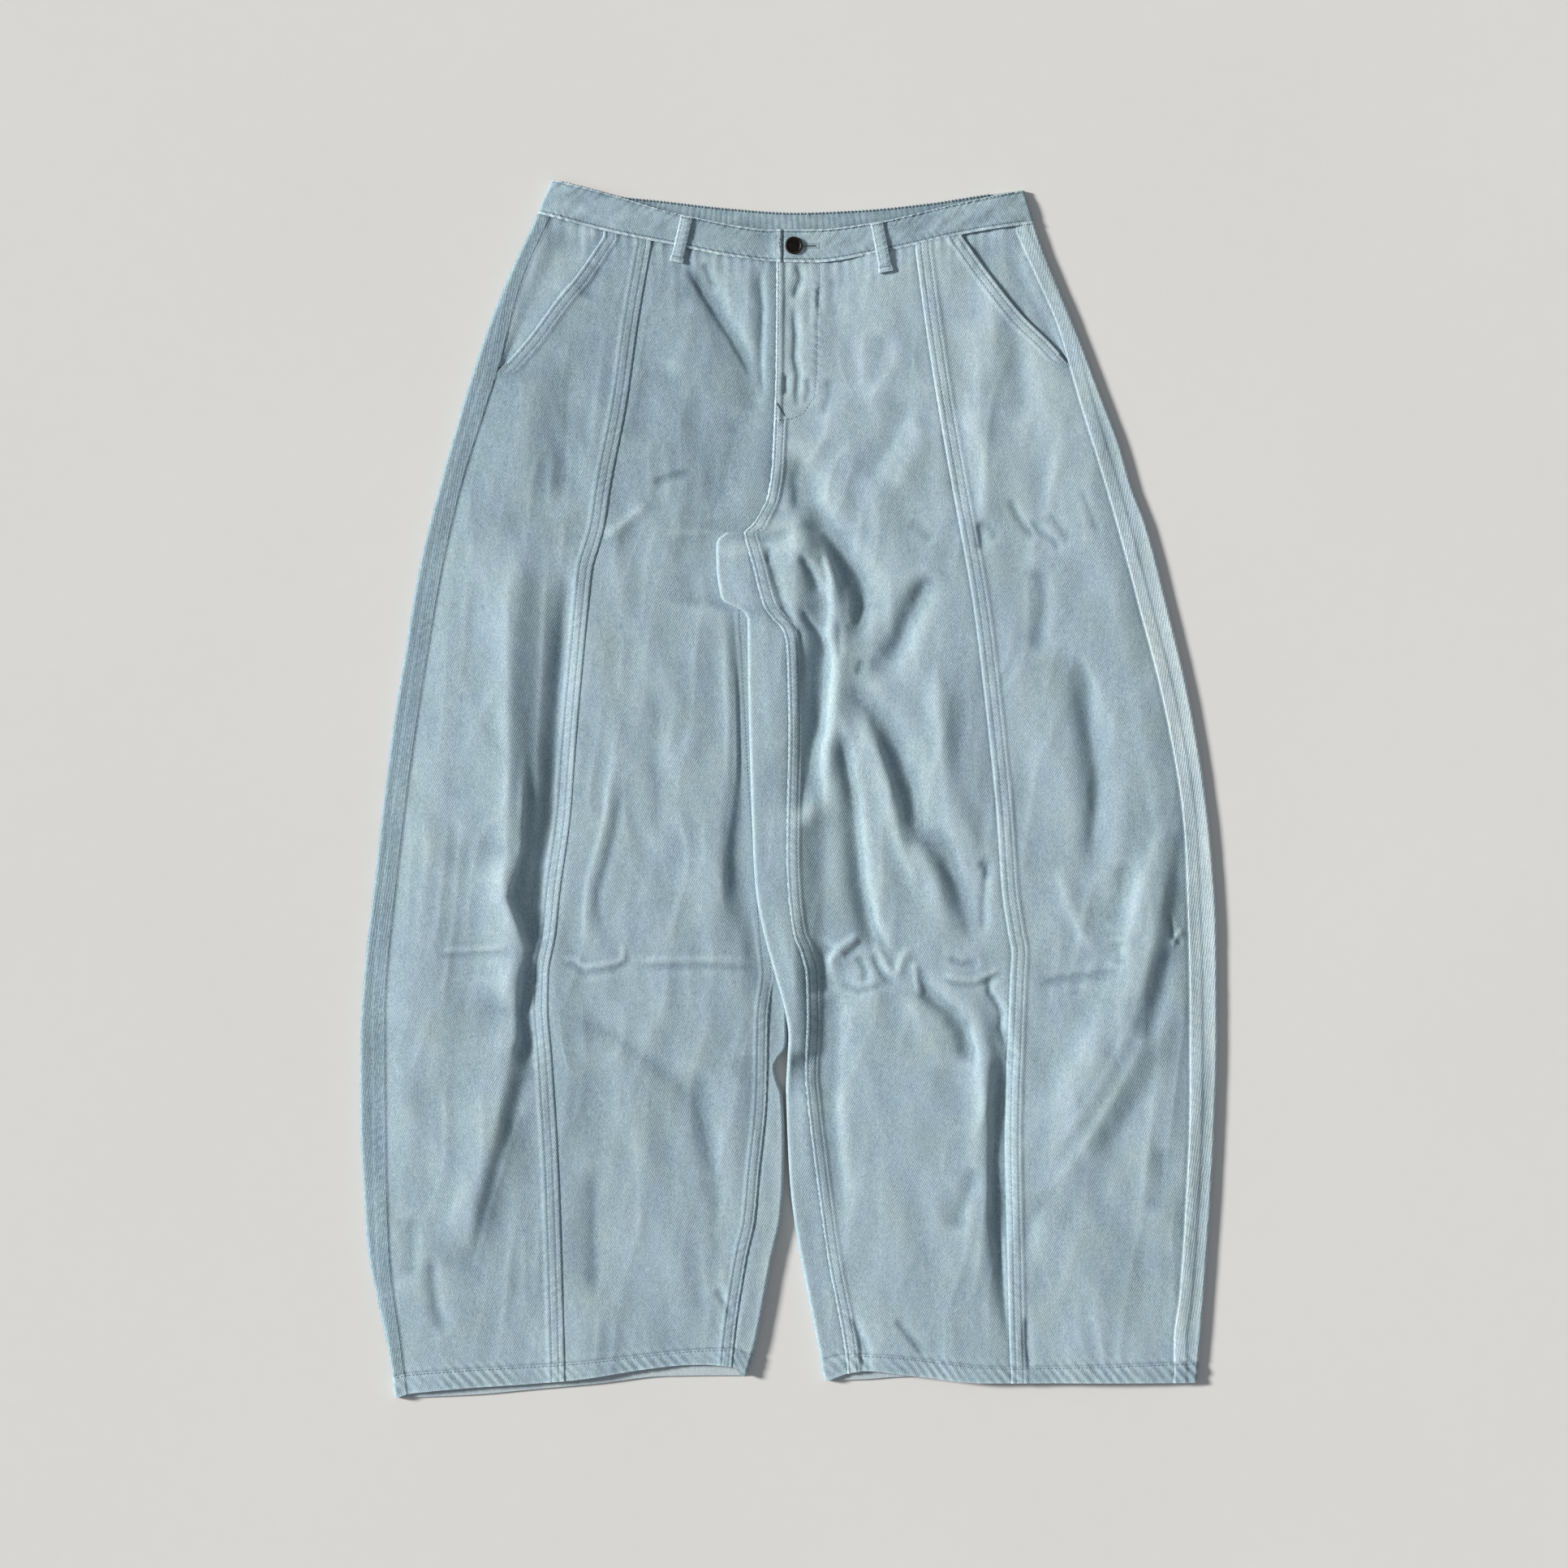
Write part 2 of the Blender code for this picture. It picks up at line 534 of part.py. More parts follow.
FRONT_SIDE_COLUMNS = {
    "right": (0, 0.18, 0.36, 0.5, 0.6, 0.7, 0.79, 0.88, 1),
    "left": (0, 0.14, 0.27, 0.39, 0.5, 0.62, 0.75, 0.88, 1),
}
FRONT_CENTRE_COUNT = {"right": 11, "left": 14}
FACING_COLUMNS = (0, 0.5, 1)
FACING_FOOT_ROW = 340
BACK_SIDE_COLUMNS = (0, 0.4, 0.75, 1, 1.25, 1.5, 1.75, 2, 2.5, 3)
BACK_CENTRE_COLUMNS = {
    "right": (0, 0.5, 1, 1.25, 1.5, 1.75, 2, 3, 3.33, 3.66, 4),
    "left": (0, 0.5, 1, 1.25, 1.5, 1.75, 2, 2.5, 3, 3.06, 3.12, 3.18, 3.6, 4),
}


def add_leg(leg):
    """The four panels of one leg and its pocket facing."""
    cloth_piece(f"back_side_{leg}", leg, ("back", "outer_under", "outer_over", "side"),
                BACK_SIDE_COLUMNS)
    cloth_piece(f"front_side_{leg}", leg, ("pocket_edge", "panel"), FRONT_SIDE_COLUMNS[leg])
    cloth_piece(f"front_centre_{leg}", leg, ("panel", "inseam"),
                np.linspace(0, 1, FRONT_CENTRE_COUNT[leg]))
    facing_rows = [n for n in ROWS if n >= FACING_FOOT_ROW]
    cloth_piece(f"pocket_facing_{leg}", leg, ("side", "facing_end"), FACING_COLUMNS,
                rows=facing_rows, drop=FACING_DROP)
    columns = BACK_CENTRE_COLUMNS[leg]
    cells = np.ones((len(ROWS) - 1, len(columns) - 1), bool)
    cells[: ROWS.index(ROW_CROTCH), : columns.index(3)] = False
    cloth_piece(f"back_centre_{leg}", leg,
                ("inseam", "inner_over", "inner_under", "fork", "back"), columns, cells=cells)


HEM_ROUTE = ("back", "outer_under", "outer_over", "side", "panel", "inseam", "inner_over",
             "inner_under", "fork", "back")


def add_hem(leg):
    """The turned-up hem, a ring below the panels with a doubled wall."""
    rows = (ROW_BOTTOM, ROW_BOTTOM - HEM_DEPTH / 2, ROW_BOTTOM - HEM_DEPTH)
    columns = np.concatenate([
        BACK_SIDE_COLUMNS,
        np.array(FRONT_SIDE_COLUMNS[leg][1:]) + HEM_ROUTE.index("side"),
        np.linspace(0, 1, FRONT_CENTRE_COUNT[leg])[1:] + HEM_ROUTE.index("panel"),
        np.array(BACK_CENTRE_COLUMNS[leg][1:-1]) + HEM_ROUTE.index("inseam"),
    ])
    u, n = np.meshgrid(columns, np.array(rows))
    outer = surface(leg, HEM_ROUTE, u, n)
    normal = leg_normals(leg, HEM_ROUTE, u, n, rows)
    outer = outer + normal * HEM_STEP * np.clip(normal[..., 2:], 0, 1)
    inner = outer - normal * HEM_WALL
    for points in (outer, inner):
        pull_in(points, np.s_[0], np.s_[1], SEAM_GAP / 2)
    add_piece(f"hem_{leg}", *shell(outer, inner, ring=True))


def band_surface(leg, q, t):
    """Outer side of the waistband. q runs from its back end over the side fold to the
    front: below 1 it lies under, from 1 to 2 it turns, and above 2 it lies on top."""
    s = SIGN[leg]
    side = line_x(leg, "outer_over", curve(WAIST_SEAM["over"], s * HALF_WAIST))
    x_under = mix(BAND_WRAP[leg], side, np.clip(q, 0, 1))
    x_over = mix(side, BAND_END[leg], np.clip(q - 2, 0, 1))
    x = np.where(q < 1.5, x_under, x_over)
    lean = curve(BAND_LEAN, x) * t
    turn = np.clip(q - 1, 0, 1)
    seam = mix(curve(WAIST_SEAM["under"], x), curve(WAIST_SEAM["over"], x), turn)
    edge = mix(curve(BAND_EDGE["under"], x + lean), curve(BAND_EDGE["over"], x + lean), turn)
    angle = np.pi * (turn - 0.5)
    high = curve(BAND_HEIGHT[leg], x)
    z = high * (0.5 + 0.5 * np.sin(angle))
    x = x + lean + s * OUTER_RADIUS * np.cos(angle)
    return np.stack([x, mix(seam, edge, t), z], axis=-1)


BAND_COLUMNS = {
    "right": (0, 0.5, 1, 1.25, 1.5, 1.75, 2, 2.08, 2.18, 2.3, 2.42, 2.54, 2.66, 2.75, 2.82,
              2.87, 2.93, 3),
    "left": (0, 0.5, 1, 1.25, 1.5, 1.75, 2, 2.08, 2.18, 2.3, 2.42, 2.54, 2.64, 2.72, 2.78),
}


def band_normals(leg, q, t):
    """Unit normals on the outer side of the waistband."""
    dq, dt = BAND_PROBE
    across = band_surface(leg, np.minimum(q + dq, 3), t)
    across -= band_surface(leg, np.maximum(q - dq, 0), t)
    up = band_surface(leg, q, np.minimum(t + dt, 1))
    up -= band_surface(leg, q, np.maximum(t - dt, 0))
    return unit(np.cross(across, up)) * -SIGN[leg]


def add_front_band(leg):
    """One half of the front waistband, which turns round the side of the waist."""
    columns = list(BAND_COLUMNS[leg])
    rows = [0.0, 0.5, 1.0]
    cells = None
    if leg == "left":
        side = float(band_surface(leg, np.float64(2), np.float64(0))[0])
        hole = [2 + (side - x) / (side - BAND_END[leg]) for x in reversed(BUTTONHOLE)]
        columns += [*hole, 3.0]
        rows = [0.0, *BUTTONHOLE_ROWS, 1.0]
        cells = np.ones((len(rows) - 1, len(columns) - 1), bool)
        cells[1, columns.index(hole[0])] = False
    q, t = np.meshgrid(np.array(columns), np.array(rows))
    outer = band_surface(leg, q, t)
    inner = outer - band_normals(leg, q, t) * BAND_WALL
    for points in (outer, inner):
        pull_in(points, np.s_[:, 0], np.s_[:, 1], SEAM_GAP / 2)
        pull_in(points, np.s_[0], np.s_[1], SEAM_GAP / 2)
    add_piece(f"waistband_front_{leg}", *shell(outer, inner, cells))


def add_back_band():
    """The elastic back waistband: flat outside, gathered on the inside that shows."""
    columns = 2 * GATHERS + 1
    x, t = np.meshgrid(np.linspace(BAND_WRAP["right"], BAND_WRAP["left"], columns),
                       np.array([0.0, 0.5, 1.0]))
    lean = curve(BAND_LEAN, x) * t
    seam, edge = curve(WAIST_SEAM["under"], x), curve(BAND_EDGE["under"], x + lean)
    outer = np.stack([x + lean, mix(seam, edge, t), np.zeros(x.shape)], axis=-1)
    inner = outer.copy()
    inner[..., 2] = WALL + GATHER_HEIGHT * (np.arange(columns) % 2)
    for points in (outer, inner):
        pull_in(points, np.s_[:, 0], np.s_[:, 1], SEAM_GAP / 2)
        pull_in(points, np.s_[:, -1], np.s_[:, -2], SEAM_GAP / 2)
        pull_in(points, np.s_[0], np.s_[1], 3 * SEAM_GAP)
    add_piece("waistband_back", *shell(outer, inner), colour=DENIM_DEEP)


def front_top(leg, x, y):
    """Height of what lies uppermost at a point near the front waist seam."""
    panel = over_height(leg, x, y)
    band = curve(BAND_HEIGHT[leg], x)
    seam = curve(WAIST_SEAM["over"], x)
    upper = np.maximum(panel, band)
    below = np.where(y < seam - LOOP_BLEND, panel, upper)
    return np.where(y > seam + LOOP_BLEND, band, below)


def add_belt_loop(name, loop):
    """A strip that stands off the band and is fixed at both ends."""
    t = np.linspace(0, 1, LOOP_STEPS + 1)
    top, foot = np.array(loop.top), np.array(loop.foot)
    along = unit(foot - top)
    across = np.array([-along[1], along[0]])
    middle = mix(top, foot, t[:, None])
    edges = np.array([-0.5, 0.0, 0.5]) * loop.width
    plan = middle[:, None, :] + edges[None, :, None] * across
    height = front_top(loop.leg, plan[..., 0], plan[..., 1]).max(axis=1, keepdims=True)
    rise = LOOP_SEAT + LOOP_LIFT * np.sqrt(np.clip(np.sin(np.pi * t), 0, 1))[:, None]
    low = np.broadcast_to(height + rise, plan.shape[:2])
    inner = np.concatenate([plan, low[..., None]], axis=-1)
    outer = inner + np.array([0, 0, LOOP_WALL])
    add_piece(name, *shell(outer, inner))


def add_button():
    """A shank button: a turned cap with a raised rim, on a shank through the buttonhole."""
    turn = np.linspace(0, 2 * np.pi, BUTTON_SIDES, endpoint=False)
    x, y = BUTTON_PLACE
    vertices = [
        ((x + r * np.cos(a)) * MM, (y + r * np.sin(a)) * MM, z * MM)
        for r, z in BUTTON_PROFILE
        for a in turn
    ]
    faces = []
    for i in range(len(BUTTON_PROFILE) - 1):
        for j in range(BUTTON_SIDES):
            k = (j + 1) % BUTTON_SIDES
            a, b = i * BUTTON_SIDES, (i + 1) * BUTTON_SIDES
            faces += [[a + j, a + k, b + k], [a + j, b + k, b + j]]
    foot, top = len(vertices), len(vertices) + 1
    vertices.append((x * MM, y * MM, BUTTON_PROFILE[0][1] * MM))
    vertices.append((x * MM, y * MM, BUTTON_TOP * MM))
    last = (len(BUTTON_PROFILE) - 1) * BUTTON_SIDES
    for j in range(BUTTON_SIDES):
        k = (j + 1) % BUTTON_SIDES
        faces += [[foot, k, j], [top, last + j, last + k]]
    add_piece("button", vertices, faces, BUTTON_BROWN, roughness=0.35, metallic=0.8)


def main():
    for old in list(bpy.data.objects):
        bpy.data.objects.remove(old)
    for leg in ("right", "left"):
        add_leg(leg)
        add_hem(leg)
        add_front_band(leg)
    add_back_band()
    for name, loop in BELT_LOOPS.items():
        add_belt_loop(name, loop)
    add_button()


main()
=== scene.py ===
"""Looks of the wide-leg jeans: cloth, seams, sewing, gathers, button, light and camera.

Lengths are in millimetres until a mesh is made. Right and left are the wearer's, so the
right leg lies at -X. +Y points to the waist and +Z up from the surface that the jeans lie
on. Each leg is the surface that its solids follow, drawn again with finer steps and with
smaller creases, and each piece of cloth is a thin closed shell on it.
"""

from collections import namedtuple

import bpy
import numpy as np
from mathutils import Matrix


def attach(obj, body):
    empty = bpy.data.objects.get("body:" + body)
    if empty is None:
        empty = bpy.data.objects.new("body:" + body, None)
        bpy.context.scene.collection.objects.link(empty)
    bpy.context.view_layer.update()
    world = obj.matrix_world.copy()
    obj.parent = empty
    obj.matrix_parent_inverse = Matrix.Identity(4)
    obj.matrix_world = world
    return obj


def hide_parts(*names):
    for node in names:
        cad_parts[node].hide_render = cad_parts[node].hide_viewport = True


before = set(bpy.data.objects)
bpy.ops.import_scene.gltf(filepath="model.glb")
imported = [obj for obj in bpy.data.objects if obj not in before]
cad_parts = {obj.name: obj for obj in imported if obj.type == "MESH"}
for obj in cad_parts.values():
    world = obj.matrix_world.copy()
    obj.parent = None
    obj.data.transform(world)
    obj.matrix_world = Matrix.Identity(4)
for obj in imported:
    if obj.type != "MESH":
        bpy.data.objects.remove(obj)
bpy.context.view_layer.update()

MM = 0.001

# Cloth
WALL = 1.2
HEM_WALL = 2.2
BAND_WALL = 1.8
SEAM_GAP = 0.3
LEAST_ROOM = 0.8
HEM_STEP = 0.6

# Fold edges of the flat legs
OUTER_RADIUS = 2.5
INNER_RADIUS = {"right": 3.0, "left": 2.5}
SIGN = {"right": -1.0, "left": 1.0}

# Rows: the waist seam and the hem seam are curved, and rows near them follow them
ROW_TOP = 448.0
ROW_CROTCH = 208.0
ROW_BOTTOM = -466.0
BEND_REACH = 150.0
HEM_DEPTH = 17.0

# The left leg lies over the right one between the crotch and the knee
OVERLAP_FLOOR = 7.1
OVERLAP_CEILING = 6.5
LIFT_EDGE = 4.0
LIFT_RAMP = 26.0
LIFT_TOP = {"under": 240.0, "over": 222.0}
MOST_HIDDEN = 64.0
CROTCH_RAMP = 31.0
KNEE_END = -245.0
KNEE_RAMP = 34.0

# Height of the upper layer where no fold crosses it, as (y, z)
PILLOW = ((448, 6.0), (380, 7.6), (300, 8.2), (209, 8.6), (100, 9.6), (-50, 10.2),
          (-150, 10.2), (-250, 9.6), (-350, 8.6), (-430, 7.4), (-466, 6.8))
OUTER_SLOPE = 45.0
INNER_SLOPE = {"right": 40.0, "left": 80.0}

# Lines of each leg as (y, x)
LINES = {
    "right": {
        "outer": ((495, -192.4), (468, -203.6), (411, -230), (345, -254.4), (246, -283.5),
                  (180, -300), (114, -311.2), (48, -321.8), (-84, -337.6), (-150, -344.9),
                  (-200, -348), (-249, -348.3), (-348, -344.2), (-381, -340.9),
                  (-414, -334.3), (-473, -322.4), (-496, -319.8)),
        "side": ((464, -193.7), (411, -217), (345, -234.6), (312, -245), (246, -265.7),
                 (180, -280.8), (48, -302.6), (-84, -319.1), (-150, -325.7), (-183, -327.4),
                 (-282, -326.7), (-381, -323.7), (-447, -315.2), (-496, -309)),
        "panel": ((442, -111.2), (378, -122.4), (312, -131.7), (246, -144.5), (213, -149.5),
                  (195, -154.5), (180, -159), (147, -162.7), (15, -174.6), (-18, -176.9),
                  (-84, -185.8), (-117, -189.1), (-150, -195), (-175, -195.6),
                  (-216, -192.4), (-315, -186.5), (-496, -181)),
        "inseam": ((430, -9.6), (345, -10.2), (279, -12.5), (260, -13.6), (239, -16.8),
                   (223, -24), (214, -30), (208, -36), (195, -35), (147, -32), (15, -24.8),
                   (-117, -15.5), (-150, -12.2), (-183, -16.2), (-249, -17.6),
                   (-315, -24), (-348, -27), (-381, -34), (-447, -43.9), (-496, -48)),
        "inner": ((230, 12), (216, 5), (208, 0.3), (150, -0.3), (-117, -1), (-205, -0.7),
                  (-211, -2.3), (-218, -7.6), (-225, -10.9), (-235, -9.2), (-249, -4.6),
                  (-282, -3), (-315, -3.3), (-348, -5.6), (-381, -12.9), (-447, -25.4),
                  (-476, -33.3)),
        "pocket": ((449, -150.2), (417, -172), (397, -188.4), (366, -211.5), (338, -236.6)),
        "back": ((450, -105), (200, -145), (0, -162), (-480, -168)),
    },
    "left": {
        "outer": ((487, 191.7), (460, 199.7), (444, 204.9), (378, 232), (312, 257.1),
                  (279, 269.6), (246, 278.9), (213, 291.4), (147, 308.6), (81, 324.4),
                  (15, 336.3), (-51, 344.2), (-117, 348.2), (-200, 348.6), (-282, 346.2),
                  (-381, 340.2), (-447, 335), (-484, 331.7)),
        "side": ((453, 184.5), (411, 203.6), (378, 218.1), (345, 228), (312, 237.3),
                 (246, 257.7), (180, 276.2), (147, 284.8), (81, 302), (15, 315.2),
                 (-18, 319.8), (-51, 322.4), (-183, 325.7), (-249, 325.7), (-348, 321.8),
                 (-414, 317.1), (-447, 313), (-486, 313)),
        "panel": ((437, 103.3), (378, 111.2), (312, 121.4), (246, 133), (147, 150.5),
                  (81, 158.7), (-18, 169), (-84, 173.6), (-117, 178.5), (-133, 181.2),
                  (-150, 180.2), (-183, 178.9), (-282, 175.9), (-348, 177.2),
                  (-447, 179.5), (-486, 181)),
        "inseam": ((430, -9.6), (345, -10.2), (279, -12.5), (260, -13.6), (239, -16.8),
                   (223, -24), (214, -30), (208, -36), (194, -32.7), (180, -28.7),
                   (165, -25), (147, -19.5), (137, -12.2), (129, -5), (117, -1.7),
                   (81, -0.3), (48, 0.3), (-51, -1.7), (-84, -0.3), (-117, 4),
                   (-133, 10.2), (-150, 14.2), (-183, 15.2), (-233, 13.5), (-249, 14.9),
                   (-315, 22.8), (-381, 32), (-447, 44.5), (-473, 47.9), (-484, 48.5)),
        "inner": ((208, -51), (203, -57), (198, -58.7), (180, -58.4), (160, -55.8),
                  (153, -53.5), (148, -44), (143, -36), (137, -33.5), (81, -32.7),
                  (-51, -28.7), (-84, -26.4), (-117, -20.1), (-150, -11.2), (-183, -2.3),
                  (-200, 0), (-216, -0.7), (-249, -2.3), (-282, -1.3), (-315, 0.7),
                  (-348, 4.3), (-414, 16.2), (-473, 28), (-481, 29.4)),
        "pocket": ((449, 141), (413, 166.7), (384, 190.4), (363, 211.9), (345.5, 227.8)),
        "back": ((450, 105), (200, 145), (0, 162), (-480, 168)),
    },
}
CENTRE_BACK = 0.3
FORK_STEP = 2.0
# The left back's construction line from the fork of the legs down to the hem, as (y, x)
LEFT_FORK = ((209, 0.6), (150, 0.6), (-150, 8), (-250, 12), (-348, 20), (-490, 45))
POCKET_UNDERLAP = 5.0
POCKET_FOOT = {"right": 338.0, "left": 345.5}
FACING_DROP = 1.9

# Waist seam, band edge, hem seam and hem edge on each layer, as (x, y)
WAIST_SEAM = {
    "over": ((-203.6, 468.3), (-139.6, 451.8), (-93.4, 442.5), (-50, 433.5), (-9.6, 428.6),
             (20, 428.2), (71.6, 435.9), (150.8, 453.1), (199.7, 460.4)),
    "under": ((-203.6, 468.3), (-152.8, 456.5), (-100, 449.5), (-47, 443.6), (5.6, 440.3),
              (58.4, 442.3), (111, 447.5), (164, 455.5), (199.7, 460.4)),
}
BAND_EDGE = {
    "over": ((-192.4, 495.3), (-139.6, 481.5), (-80.2, 465), (-9.6, 454.4), (20, 454.4),
             (71.6, 460.4), (137.6, 475.5), (191.7, 486.8)),
    "under": ((-192.4, 495.3), (-152.8, 483.5), (-100, 477.5), (-47.2, 471.6), (5.6, 468.3),
              (58.4, 470.3), (111.2, 475.5), (164, 483.5), (191.7, 486.8)),
}
BAND_LEAN = ((-203.6, 11.2), (-93, 5), (-9.6, -1.8), (72, -4), (199.7, -8))
HEM_SEAM = {
    "right": {
        "over": ((-322.5, -477.5), (-309, -474.2), (-180.5, -465.6), (-46, -453.8),
                 (-30.7, -458.5)),
        "under": ((-322.5, -477.5), (-258, -475), (-206, -470.4), (-153, -465.8),
                  (-100, -460), (-47, -458.5), (-30.7, -458.5)),
    },
    "left": {
        "over": ((26, -463.5), (47.2, -459), (62.4, -459), (178.5, -468.9), (333.6, -465)),
        "under": ((26, -463.5), (58.4, -462.5), (85, -460.5), (111, -460), (150, -462),
                  (333.6, -465)),
    },
}
HEM_EDGE = {
    "right": {
        "over": ((-320, -494.5), (-310, -490.7), (-181.8, -480.2), (-70, -467),
                 (-43, -469), (-33, -476.2)),
        "under": ((-320, -494.5), (-258, -492), (-206, -487.4), (-153, -482.8),
                  (-100, -476.9), (-47, -476.2), (-33, -476.2)),
    },
    "left": {
        "over": ((29.4, -480.2), (47.2, -474.2), (61.7, -472.2), (100, -476.2),
                 (158.7, -481.9), (331.7, -481.9)),
        "under": ((29.4, -480.2), (58.4, -479.5), (84.8, -477.5), (111, -476.9),
                  (150, -478.5), (331.7, -481.9)),
    },
}

# Folds of the upper layer, as (height, reach to the left, reach to the right, path). A path
# runs from a fold's hem end to its waist end, and a trough's height is negative.
Fold = namedtuple("Fold", "height left right path")


def legs_folds(table):
    return {leg: [Fold(*row) for row in rows] for leg, rows in table.items()}


FOLDS = legs_folds({
    "right": (
        (5.0, 34, 11, ((-265, -388), (-247, -315), (-232, -249), (-221, -175))),
        (5.0, 30, 11, ((-221, -185), (-216, -128), (-231, -88), (-233, -45))),
        (5.0, 30, 17, ((-233, -75), (-227, 28), (-223, 114), (-223, 225))),
        (-3.0, 12, 9, ((-207, -250), (-207, -150), (-200, -90), (-187, 0), (-180, 100),
         (-166, 190))),
        (2.5, 18, 9, ((-52, -130), (-59, -58), (-52, 20), (-45, 114), (-50, 160))),
        (-2.5, 11, 9, ((-24, 290), (-36, 345), (-62, 395), (-82, 425))),
    ),
    "left": (
        (-4.0, 9, 15, ((58, 124), (60, 150), (48, 177), (29, 203), (12, 226), (8, 252), (7, 282))),
        (3.0, 12, 9, ((38, 110), (42, 147), (33, 177), (17, 201), (5, 222))),
        (-4.5, 20, 8, ((19, -30), (21, 15), (25, 55), (28, 88), (26, 130))),
        (3.0, 10, 10, ((45, -30), (39, 21), (37, 61), (39, 101), (43, 138))),
        (-3.5, 12, 5, ((84, -150), (68, -110), (60, -77), (53, -5), (45, 35), (34, 66))),
        (-4.5, 10, 15, ((150, -132), (141, -84), (128, -51), (105, -38), (95, 2), (81, 38), (62, 71),
         (44, 95))),
        (3.0, 15, 9, ((133, -125), (118, -71), (95, -31), (79, 8), (65, 45), (48, 75))),
        (-2.5, 9, 12, ((56, 88), (78, 104), (90, 124), (99, 150), (116, 174))),
        (2.0, 12, 10, ((156, -62), (138, -25), (128, 15), (122, 61), (117, 110))),
        (-3.0, 12, 13, ((241, -80), (251, -31), (251, 8), (244, 48), (232, 118))),
        (4.5, 25, 11, ((200, -314), (250, -236), (271, -196), (285, -157), (296, -117), (309, -36))),
        (-4.0, 12, 6, ((175, -395), (174, -315), (173, -269), (177, -216), (164, -155))),
        (3.0, 17, 8, ((159, -414), (159, -348), (160, -295), (161, -190))),
        (-2.5, 8, 8, ((148, -226), (138, -193), (124, -177), (106, -157))),
        (-2.5, 11, 7, ((46, -355), (35, -282), (33, -216), (36, -170), (27, -134))),
    ),
})
FOLD_END = 0.22
EDGE_CALM = 12.0

# Waistband, as height of the upper layer at each x, and the button on it
BAND_HEIGHT = {
    "right": ((-203, 5.0), (-180, 6.4), (-40, 6.4), (-13, 5.0), (20, 5.0)),
    "left": ((-10, 7.1), (26, 7.1), (50, 6.4), (175, 6.4), (199, 5.0)),
}
HALF_WAIST = 203.0
BAND_WRAP = {"right": -178.0, "left": 173.0}
BAND_END = {"right": 19.0, "left": -9.6}
GATHER_HEIGHT = 1.0
BUTTONHOLE = (1.8, 24.0)
BUTTON_PLACE = (4.3, 441.2)

